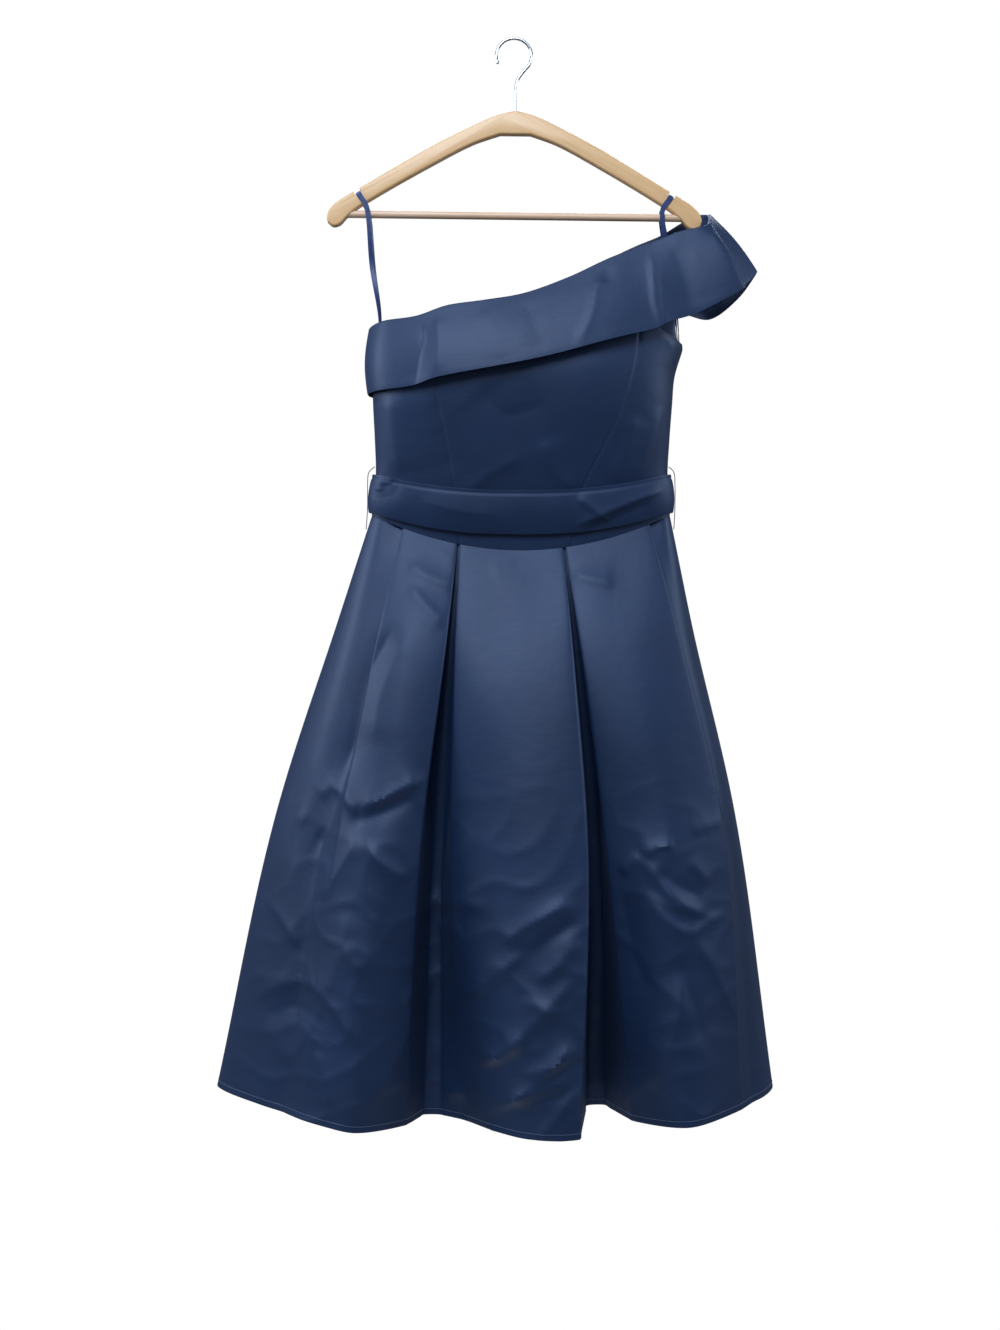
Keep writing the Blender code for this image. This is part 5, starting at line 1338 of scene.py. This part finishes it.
def ribbon_strand(side, face_y, seam_x, lean_in, over, down_arm, along_arm):
    """Middle line of one strand, from the notch down to its sewn foot, and which way its width lies."""
    seat = RIBBON_THICKNESS / 2.0 + SEAM_GAP
    face = HANGER_THICKNESS / 2.0 + seat
    inset = 0.0 if face_y < 0.0 else RIBBON_STRANDS_APART
    start = over + (0.0, face_y * face, 0.0) + down_arm * 0.020
    neck = np.array([seam_x(-0.352) - side * (lean_in + inset), face_y * 0.0012, -0.338])
    centres = [
        over + (0.0, face_y * (face - seat), 0.0),
        over + (0.0, face_y * (face - seat * 0.25), 0.0) + down_arm * seat * 0.25,
        over + (0.0, face_y * face, 0.0) + down_arm * seat * 1.2,
        over + (0.0, face_y * face, 0.0) + down_arm * 0.0060,
        start,
        (start + neck) / 2.0 + (side * 0.001, face_y * 0.0016, 0.0),
        neck,
        np.array([seam_x(RIBBON_FOOT_TOP) - side * inset, 0.0, RIBBON_FOOT_TOP]),
        np.array([seam_x(RIBBON_FOOT_BOTTOM) - side * inset, 0.0, RIBBON_FOOT_BOTTOM]),
    ]
    path = along_path(centres, np.linspace(0.0, len(centres) - 1.0, 150))
    lengths = np.concatenate([[0.0], np.cumsum(np.linalg.norm(np.diff(path, axis=0), axis=1))])
    turns = ease((lengths - QUARTER_TURN_FROM) / (lengths[-1] - QUARTER_TURN_FROM - QUARTER_TURN_ENDS))
    turns = (turns * math.pi / 2.0)[:, None]
    level = np.clip((lengths - TURNS_LEVEL_FROM) / TURNS_LEVEL_OVER, 0.0, 1.0)[:, None]
    on_arm = along_arm * (1.0 - level) + np.array([1.0, 0.0, 0.0]) * level
    return path, unit(on_arm * np.cos(turns) + np.array([0.0, side, 0.0]) * np.sin(turns))


def add_ribbon(node, side, line, lean_in):
    """One hanger loop."""
    seat = RIBBON_THICKNESS / 2.0 + SEAM_GAP
    deep = NOTCH_DEPTH - seat
    edge = upper_edge_at(NOTCH_X)
    over = hung(side * (NOTCH_X - math.sin(ARM_SLOPE) * deep), 0.0, edge - math.cos(ARM_SLOPE) * deep)
    slope = ARM_SLOPE * side + HANGER_TILT
    along_arm = np.array([math.cos(slope), 0.0, -math.sin(slope)])
    down_arm = np.array([-math.sin(slope), 0.0, -math.cos(slope)])

    def seam_x(z):
        inside = CAD_WALL / 2.0 + seat + RIBBON_SLACK
        return float(np.interp(z, line[::-1, 2], line[::-1, 0])) - side * inside

    strands = [ribbon_strand(side, y, seam_x, lean_in, over, down_arm, along_arm) for y in (-1.0, 1.0)]
    (front_path, front_widths), (back_path, back_widths) = strands
    path = np.concatenate([front_path[::-1], [over], back_path])
    widths = np.concatenate([front_widths[::-1], [along_arm], back_widths])
    across = np.linspace(-0.5, 0.5, 5)[:, None, None] * RIBBON_WIDTH
    grid = path[None] + widths[None] * across
    ribbon = shell(node + "_ribbon", grid, facing_of(grid), node, RIBBON_SATIN, RIBBON_THICKNESS)


add_ribbon("hanger_loop_bare_side", -1.0, bare_seam_line, 0.0070)
add_ribbon("hanger_loop_shoulder_side", 1.0, shoulder_seam_line, 0.0030)

# %% [markdown]
# Each belt loop is a short chain of thread at the side seam. Two strands twisted round each other
# are enough to read as one. A tube needs a steady cross-section, which comes from the line's own
# direction and the Y axis, because all these lines lie in planes across the dress.

# %% Thread loops and the hanger's hook
THREAD_RADIUS = 0.0006
THREAD_TOP = -0.5050
THREAD_BOTTOM = -0.5790
THREAD_CLEARANCE = 0.0003
BELT_WALL = 0.0020
TWIST_LENGTH = 0.0032
WIRE_RADIUS = 0.0018
HOOK_INNER_RADIUS = 0.0190
HOOK_BORE_DEPTH = 0.0120
HOOK_START = math.radians(-50.0)
HOOK_END = math.radians(207.0)
HOOK_STEPS = 21


def tube(line, radius, sides, rounded=4):
    """Points and faces of a round rod along a line, with domed ends."""
    line = np.asarray(line, float)
    along = unit(np.gradient(line, axis=0))
    dome = np.linspace(0.0, math.pi / 2.0, rounded, endpoint=False)
    width = radius * np.cos(dome[::-1])
    start = line[0] + along[0] * (radius - radius * np.sin(dome[::-1]))[:, None]
    end = line[-1] - along[-1] * (radius - radius * np.sin(dome))[:, None]
    keep = slice(1, -1)
    centres = np.concatenate([start, line[keep], end])
    along = np.concatenate([np.tile(along[0], (rounded, 1)), along[keep], np.tile(along[-1], (rounded, 1))])
    widths = np.concatenate([width, np.full(len(line) - 2, radius), width[::-1]])
    across = unit(np.cross(along, (0.0, 1.0, 0.0)))
    third = np.cross(along, across)
    turn = np.linspace(0.0, 2.0 * math.pi, sides, endpoint=False)[None, :, None]
    around = across[:, None] * np.cos(turn) + third[:, None] * np.sin(turn)
    points = centres[:, None] + around * widths[:, None, None]
    rows = len(centres)
    j, i = np.meshgrid(np.arange(rows - 1), np.arange(sides), indexing="ij")
    a, b = (j * sides + i).ravel(), (j * sides + (i + 1) % sides).ravel()
    faces = np.stack([a, b, b + sides, a + sides], axis=1).tolist()
    faces.append(list(range(sides))[::-1])
    faces.append(list(range((rows - 1) * sides, rows * sides)))
    return points.reshape(-1, 3), faces


def stand_for(piece, node):
    """Ties a piece to the frame in the place of a node."""
    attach(piece, "root")
    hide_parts(node)


def side_x(line, z):
    """X of a side seam at a height."""
    return float(np.interp(z, line[::-1, 2], line[::-1, 0]))


def thread_line(side, bodice_side, skirt_side):
    """The thread's line at a side seam, out over the belt and back to the cloth below it."""
    seat = CAD_WALL / 2.0 + SEAM_GAP + THREAD_RADIUS
    belt_out = BELT_STAND_OFF + BELT_BULGE + BELT_WALL / 2.0 + THREAD_CLEARANCE + THREAD_RADIUS
    out = side * (abs(side_x(bodice_side, BELT_TOP - 0.022)) + belt_out)
    high = side_x(bodice_side, THREAD_TOP) + side * seat
    low = side_x(skirt_side, THREAD_BOTTOM) + side * (seat + SEAM_GAP)
    points = [
        (high, THREAD_TOP),
        (high + (out - high) * 0.35, THREAD_TOP - 0.0020),
        (high + (out - high) * 0.85, THREAD_TOP - 0.0070),
        (out, BELT_TOP - 0.012),
        (out, BELT_TOP - 0.036),
        (out + (low - out) * 0.4, BELT_TOP - 0.050),
        (low, THREAD_BOTTOM),
    ]
    path = along_path(points, np.linspace(0.0, len(points) - 1.0, 220))
    return np.column_stack([path[:, 0], np.zeros(len(path)), path[:, 1]])


def add_thread(node, line):
    """Two strands twisted round a line."""
    run = np.concatenate([[0.0], np.cumsum(np.linalg.norm(np.diff(line, axis=0), axis=1))])
    across = unit(np.cross(unit(np.gradient(line, axis=0)), (0.0, 1.0, 0.0)))
    points, faces = [], []
    for phase in (0.0, math.pi):
        turn = (run / TWIST_LENGTH * 2.0 * math.pi + phase)[:, None]
        off = (across * np.cos(turn) + np.array([0.0, 1.0, 0.0]) * np.sin(turn)) * THREAD_RADIUS * 0.42
        strand, sides = tube(line + off, THREAD_RADIUS * 0.56, 7)
        shift = sum(len(p) for p in points)
        points.append(strand)
        faces += [[k + shift for k in face] for face in sides]
    stand_for(mesh_object(node + "_thread", np.concatenate(points), faces, THREAD), node)


add_thread("belt_loop_bare_side", thread_line(-1.0, bare_seam_line, skirt_smooth[:, 0]))
add_thread("belt_loop_shoulder_side", thread_line(1.0, shoulder_seam_line, skirt_smooth[:, SIDE_COLUMN]))

hook_radius = HOOK_INNER_RADIUS + WIRE_RADIUS
apex = ARM_UPPER_EDGE[0][1]
step = (HOOK_END - HOOK_START) / HOOK_STEPS


def on_hook(angle):
    """Points of the hook's round part."""
    angle = np.asarray(angle)
    down = hook_radius * np.sin(angle) - HOOK_INNER_RADIUS
    return np.stack([hook_radius * np.cos(angle), np.zeros_like(angle), down], axis=-1)


shank = [
    hung(0.0, 0.0, apex - HOOK_BORE_DEPTH + SEAM_GAP),
    hung(0.0, 0.0, apex + 0.004),
    np.array([0.0020, 0.0, -0.0600]),
    np.array([0.0040, 0.0, -0.0480]),
    on_hook(HOOK_START),
    on_hook(HOOK_START + step),
]
lead_in = along_path(shank, np.linspace(0.0, 5.0, 60))
arc = on_hook(np.linspace(HOOK_START + step, HOOK_END, 110)[1:])
wire = mesh_object("hanger_hook_wire", *tube(np.concatenate([lead_in, arc]), WIRE_RADIUS, 20, 6), STEEL)
stand_for(wire, "hanger_hook")
print("hook top", round(wire.bound_box[1][2] / MM, 1), "mm")

# %% [markdown]
# The hanger's arms are one board, sawn to shape, with its edges rounded over. The outline is drawn
# as smooth curves, extruded and rounded. Then the bar's holes, the hook's bore and the notches are
# cut, so that each thing that enters the wood has a real place in it.

# %% Hanger
EDGE_ROUNDING = 0.0025
NOTCH_WIDTH = 0.0085
BAR_RADIUS = 0.0044
BAR_HEIGHT = -0.2085
BAR_HALF_LENGTH = 0.2060


def hanger_matrix(x, z):
    """Placement of a piece at a point of the hanger, turned with it."""
    return Matrix.Translation(Vector(hung(x, 0.0, z))) @ Matrix.Rotation(HANGER_TILT, 4, "Y")


def link(name, data):
    """Links new data as an object."""
    thing = bpy.data.objects.new(name, data)
    bpy.context.scene.collection.objects.link(thing)
    return thing


def rod_object(name, radius, length, sides, place):
    """A closed rod along Z, placed by a matrix that is applied to its mesh."""
    line = np.linspace((0.0, 0.0, -length / 2.0), (0.0, 0.0, length / 2.0), 3)
    turn = np.linspace(0.0, 2.0 * math.pi, sides, endpoint=False)
    ring = np.stack([radius * np.cos(turn), radius * np.sin(turn), np.zeros(sides)], axis=1)
    points = np.concatenate([ring + line[0], ring + line[2]])
    after = np.roll(np.arange(sides), -1)
    faces = [[k, after[k], after[k] + sides, k + sides] for k in range(sides)]
    faces += [list(range(sides))[::-1], list(range(sides, 2 * sides))]
    data = bpy.data.meshes.new(name)
    data.from_pydata(points.tolist(), [], [[int(k) for k in face] for face in faces])
    data.transform(place)
    return link(name, data)


def notch_object(side):
    """The box that cuts a ribbon's notch in an arm."""
    corners = [(x, y, z) for x in (-0.5, 0.5) for y in (-0.5, 0.5) for z in (-0.5, 0.5)]
    size = np.array([NOTCH_WIDTH, HANGER_THICKNESS * 2.0, NOTCH_DEPTH * 2.0])
    faces = [(0, 1, 3, 2), (4, 6, 7, 5), (0, 4, 5, 1), (2, 3, 7, 6), (0, 2, 6, 4), (1, 5, 7, 3)]
    data = bpy.data.meshes.new("notch")
    data.from_pydata((np.array(corners) * size).tolist(), [], faces)
    place = hanger_matrix(side * NOTCH_X, upper_edge_at(NOTCH_X))
    data.transform(place @ Matrix.Rotation(side * ARM_SLOPE, 4, "Y"))
    return link("notch", data)


def arms_object():
    """The arms' board: its outline as two faces and a rim."""
    upper = along_path(ARM_UPPER_EDGE, np.linspace(0.0, len(ARM_UPPER_EDGE) - 1.0, 73))
    lower = along_path(ARM_LOWER_EDGE, np.linspace(0.0, len(ARM_LOWER_EDGE) - 1.0, 65))
    half = np.concatenate([upper, lower])
    outline = np.concatenate([half, (half[1:] * (-1.0, 1.0))[::-1]])
    count = len(outline)
    front = np.column_stack([outline[:, 0], np.full(count, -HANGER_THICKNESS / 2.0), outline[:, 1]])
    behind = front + (0.0, HANGER_THICKNESS, 0.0)
    faces = [list(range(count))[::-1], list(range(count, 2 * count))]
    faces += [[k, (k + 1) % count, (k + 1) % count + count, k + count] for k in range(count)]
    data = bpy.data.meshes.new("arms")
    data.from_pydata(np.concatenate([front, behind]).tolist(), [], faces)
    data.transform(hanger_matrix(0.0, 0.0))
    return link("arms", data)


def baked(name, thing, material, sharp):
    """A plain object with a piece's modifiers applied."""
    seen = thing.evaluated_get(bpy.context.evaluated_depsgraph_get())
    data = bpy.data.meshes.new_from_object(seen)
    data.materials.clear()
    data.materials.append(material)
    data.shade_smooth()
    data.set_sharp_from_angle(angle=math.radians(sharp))
    bpy.data.objects.remove(thing)
    return link(name, data)


lying = Matrix.Rotation(math.radians(90.0), 4, "Y")
bar_place = hanger_matrix(0.0, BAR_HEIGHT) @ lying
arms = arms_object()
rounding = arms.modifiers.new("rounded_edges", "BEVEL")
rounding.width = EDGE_ROUNDING
rounding.segments = 5
rounding.limit_method = "ANGLE"
rounding.angle_limit = math.radians(50.0)
hole_length = 2.0 * (BAR_HALF_LENGTH + SEAM_GAP)
cutters = [
    rod_object("bar_holes", BAR_RADIUS + SEAM_GAP, hole_length, 48, bar_place),
    rod_object("hook_bore", WIRE_RADIUS + SEAM_GAP, 2.0 * HOOK_BORE_DEPTH, 32, hanger_matrix(0.0, apex)),
    notch_object(-1.0),
    notch_object(1.0),
]
for cutter in cutters:
    opening = arms.modifiers.new(cutter.name, "BOOLEAN")
    opening.operation = "DIFFERENCE"
    opening.solver = "EXACT"
    opening.object = cutter
arms = baked("hanger_arms_board", arms, ARM_BEECH, 32.0)
for cutter in cutters:
    bpy.data.objects.remove(cutter)
stand_for(arms, "hanger_arms")

bar = rod_object("bar", BAR_RADIUS, 2.0 * BAR_HALF_LENGTH, 64, bar_place)
bar = baked("hanger_bar_rod", bar, BAR_BEECH, 40.0)
stand_for(bar, "hanger_bar")
print("arms", len(arms.data.polygons), "faces")

# %% [markdown]
# Two things repeat along a line: the stitches of the hem and the coils of the zip. One Geometry
# Nodes tree does both. It turns a line into points at a spacing and puts a short round rod on each,
# along the line for a stitch or across it for a coil. Its inputs are set on the modifier, which is
# then applied.

# %% Stitches and zip
ZIP_TAPE_WIDTH = 0.026
ZIP_COIL_WIDTH = 0.005
ZIP_TAPE_THICKNESS = 0.0008
ZIP_COIL_RADIUS = 0.0006
ZIP_PITCH = 0.0015
ZIP_SKIRT_END = 0.28
HEM_STITCH_ROW = -7
STITCH_SPACING = 3.4 * MM
STITCH_LENGTH = 2.7 * MM
STITCH_RADIUS = 0.26 * MM


def repeat_tree():
    """The tree that repeats a rod along a line."""
    tree = bpy.data.node_groups.new("rods_along_a_line", "GeometryNodeTree")
    sockets = {"Line": "Geometry", "Spacing": "Float", "Length": "Float", "Radius": "Float"}
    sockets |= {"Crosswise": "Bool", "Material": "Material"}
    for name, kind in sockets.items():
        tree.interface.new_socket(name, in_out="INPUT", socket_type="NodeSocket" + kind)
    tree.interface.new_socket("Rods", in_out="OUTPUT", socket_type="NodeSocketGeometry")
    given = add(tree, "NodeGroupInput").outputs
    curve = add(tree, "GeometryNodeMeshToCurve", {"Mesh": given["Line"]}).outputs["Curve"]
    spread = {"Curve": curve, "Length": given["Spacing"]}
    points = add(tree, "GeometryNodeCurveToPoints", spread, mode="LENGTH").outputs
    rod = {"Vertices": 8, "Radius": given["Radius"], "Depth": given["Length"]}
    rod = add(tree, "GeometryNodeMeshCylinder", rod).outputs["Mesh"]
    way = add(tree, "GeometryNodeSwitch", input_type="VECTOR")
    tree.links.new(given["Crosswise"], way.inputs["Switch"])
    tree.links.new(points["Tangent"], way.inputs["False"])
    way.inputs["True"].default_value = (1.0, 0.0, 0.0)
    turned = add(tree, "FunctionNodeAlignRotationToVector", {"Vector": way.outputs["Output"]}, axis="Z")
    placed = {"Points": points["Points"], "Instance": rod, "Rotation": turned.outputs["Rotation"]}
    placed = add(tree, "GeometryNodeInstanceOnPoints", placed).outputs["Instances"]
    real = add(tree, "GeometryNodeRealizeInstances", {"Geometry": placed}).outputs["Geometry"]
    tinted = add(tree, "GeometryNodeSetMaterial", {"Geometry": real, "Material": given["Material"]})
    add(tree, "NodeGroupOutput", {"Rods": tinted.outputs["Geometry"]})
    return tree


REPEAT = repeat_tree()
SOCKETS = {item.name: item.identifier for item in REPEAT.interface.items_tree}


def rods_along(name, points, spacing, length, radius, crosswise, material):
    """Rods along a line, as one plain object."""
    data = bpy.data.meshes.new(name + "_line")
    count = len(points)
    data.from_pydata(points.tolist(), [(k, k + 1) for k in range(count - 1)], [])
    thing = link(name + "_line", data)
    repeat = thing.modifiers.new("repeat", "NODES")
    repeat.node_group = REPEAT
    inputs = {"Spacing": spacing, "Length": length, "Radius": radius}
    inputs |= {"Crosswise": crosswise, "Material": material}
    for socket, value in inputs.items():
        repeat[SOCKETS[socket]] = value
    return baked(name, thing, material, 40.0)


for node, first, last, held_by in SKIRT_NODES:
    grid, out = cut(skirt, skirt_facing, first, last)
    line = (grid + out * (CLOTH / 2.0 + STITCH_RADIUS * 0.2))[HEM_STITCH_ROW, 2:-2]
    stitch = (STITCH_SPACING, STITCH_LENGTH, STITCH_RADIUS)
    # The pale thread here paints a highlight line along the hem's fold.
    stitches = rods_along(node + "_hem_stitches", line, *stitch, False, HEM_THREAD_PAINTED_HIGHLIGHT)
    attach(stitches, "root")

zip_rows = skirt_t <= ZIP_SKIRT_END
zip_line = np.concatenate([back_seam, skirt[zip_rows, CENTRE_BACK_COLUMN][2:]])
zip_line[0, 2] -= 0.002
tape_in = CLOTH / 2.0 + SEAM_ROLL + SEAM_GAP + ZIP_TAPE_THICKNESS / 2.0
zip_across = np.linspace(-0.5, 0.5, 15) * ZIP_TAPE_WIDTH
zip_grid = zip_line[:, None] + np.stack([zip_across, np.full(15, -tape_in), np.zeros(15)], axis=1)
zip_grid[:, :, 1] -= 0.0006 * np.abs(zip_across) / (ZIP_TAPE_WIDTH / 2.0)
zip_grid = zip_grid[:, ::-1]
tape = shell("back_zip_tape", zip_grid, facing_of(zip_grid), "back_zip", ZIP_TAPE, ZIP_TAPE_THICKNESS)
coil_line = zip_line[3:] - (0.0, tape_in + ZIP_COIL_RADIUS + ZIP_TAPE_THICKNESS / 2.0, 0.0)
coil = rods_along("back_zip_coil", coil_line, ZIP_PITCH, ZIP_COIL_WIDTH, ZIP_COIL_RADIUS, True, ZIP_TAPE)
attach(coil, "root")

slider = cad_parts["zip_slider"].copy()
slider.data = slider.data.copy()
slider.name = "zip_slider_pull"
bpy.context.scene.collection.objects.link(slider)
slider.data.materials.clear()
slider.data.materials.append(ZIP_TAPE)
stand_for(slider, "zip_slider")

# %% [markdown]
# The photograph's surroundings are plain white, but the satin didn't mirror them. The upright
# bodice is dark, while the band and the top of the skirt, which lean back, shine. So the room in
# front was dim at eye level and bright from high up. The world is white to the camera and dim to
# everything else, one large soft light hangs high in front, a weaker one on each side rims the
# skirt, and one behind keeps the back readable. The floor lies as far down as it would under a
# wardrobe rail.

# %% Studio
ROOM_DIM = (0.80, 0.88, 1.0)
ROOM_STRENGTH = 0.15
SKY_TINT = (0.78, 0.88, 1.0)
RAIL_HEIGHT = 1.85
FLOOR_RADIUS = 0.8
FLOOR_SIDES = 96
# Each light: its name, its place and what it points at in metres, its width in metres, its power in watts
LIGHTS = (
    ("high_window", (-0.45, -1.85, 1.20), (0.0, 0.0, -0.70), 1.3, 60.0),
    ("bare_side_window", (-2.2, -0.30, 0.25), (-0.1, 0.0, -0.75), 1.1, 32.0),
    ("shoulder_side_window", (2.2, -0.30, 0.20), (0.1, 0.0, -0.75), 1.1, 22.0),
    ("behind", (0.4, 2.2, 0.9), (0.0, 0.0, -0.7), 1.4, 38.0),
)


def add_area(name, place, aim, size, power):
    """A square soft light at place, pointed at aim."""
    data = bpy.data.lights.new(name, "AREA")
    data.size = size
    data.energy = power
    data.color = SKY_TINT
    light = link(name, data)
    light.location = place
    light.rotation_euler = (Vector(aim) - Vector(place)).to_track_quat("-Z", "Y").to_euler()


def add_world():
    """White where the camera looks, and dim for all other light."""
    world = bpy.data.worlds.new("white_surroundings")
    world.use_nodes = True
    tree = world.node_tree
    tree.nodes.clear()
    seen = add(tree, "ShaderNodeLightPath").outputs["Is Camera Ray"]
    dim = add(tree, "ShaderNodeBackground", {"Color": (*ROOM_DIM, 1.0), "Strength": ROOM_STRENGTH})
    white = add(tree, "ShaderNodeBackground", {"Color": (1.0, 1.0, 1.0, 1.0), "Strength": 1.0})
    mix = add(tree, "ShaderNodeMixShader", {0: seen, 1: dim.outputs[0], 2: white.outputs[0]})
    add(tree, "ShaderNodeOutputWorld", {"Surface": mix.outputs[0]})
    bpy.context.scene.world = world


def add_floor():
    """A pale disc as far below the hook as a floor is below a wardrobe rail."""
    place = (0.0, 0.0, -RAIL_HEIGHT)
    bpy.ops.mesh.primitive_circle_add(
        vertices=FLOOR_SIDES, radius=FLOOR_RADIUS, fill_type="NGON", location=place
    )
    floor = bpy.context.object
    floor.name = "floor"
    floor.data.materials.append(plain("painted_floor_pale", "#efe8dc", 0.7))
    floor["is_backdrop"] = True


for light in LIGHTS:
    add_area(*light)
add_floor()
add_world()
bpy.context.scene.view_settings.view_transform = "Standard"

# %% [markdown]
# Last, the shown model's size is written beside the frame's, so the two can be compared. They
# should agree to within the height of a crease.

# %% Finish
shown_low, shown_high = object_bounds()
for axis, low, high, cad_a, cad_b in zip("xyz", shown_low, shown_high, cad_low, cad_high):
    below, above = round((low - cad_a) / MM, 1), round((high - cad_b) / MM, 1)
    print(axis, "low", below, "mm, high", above, "mm off the frame")
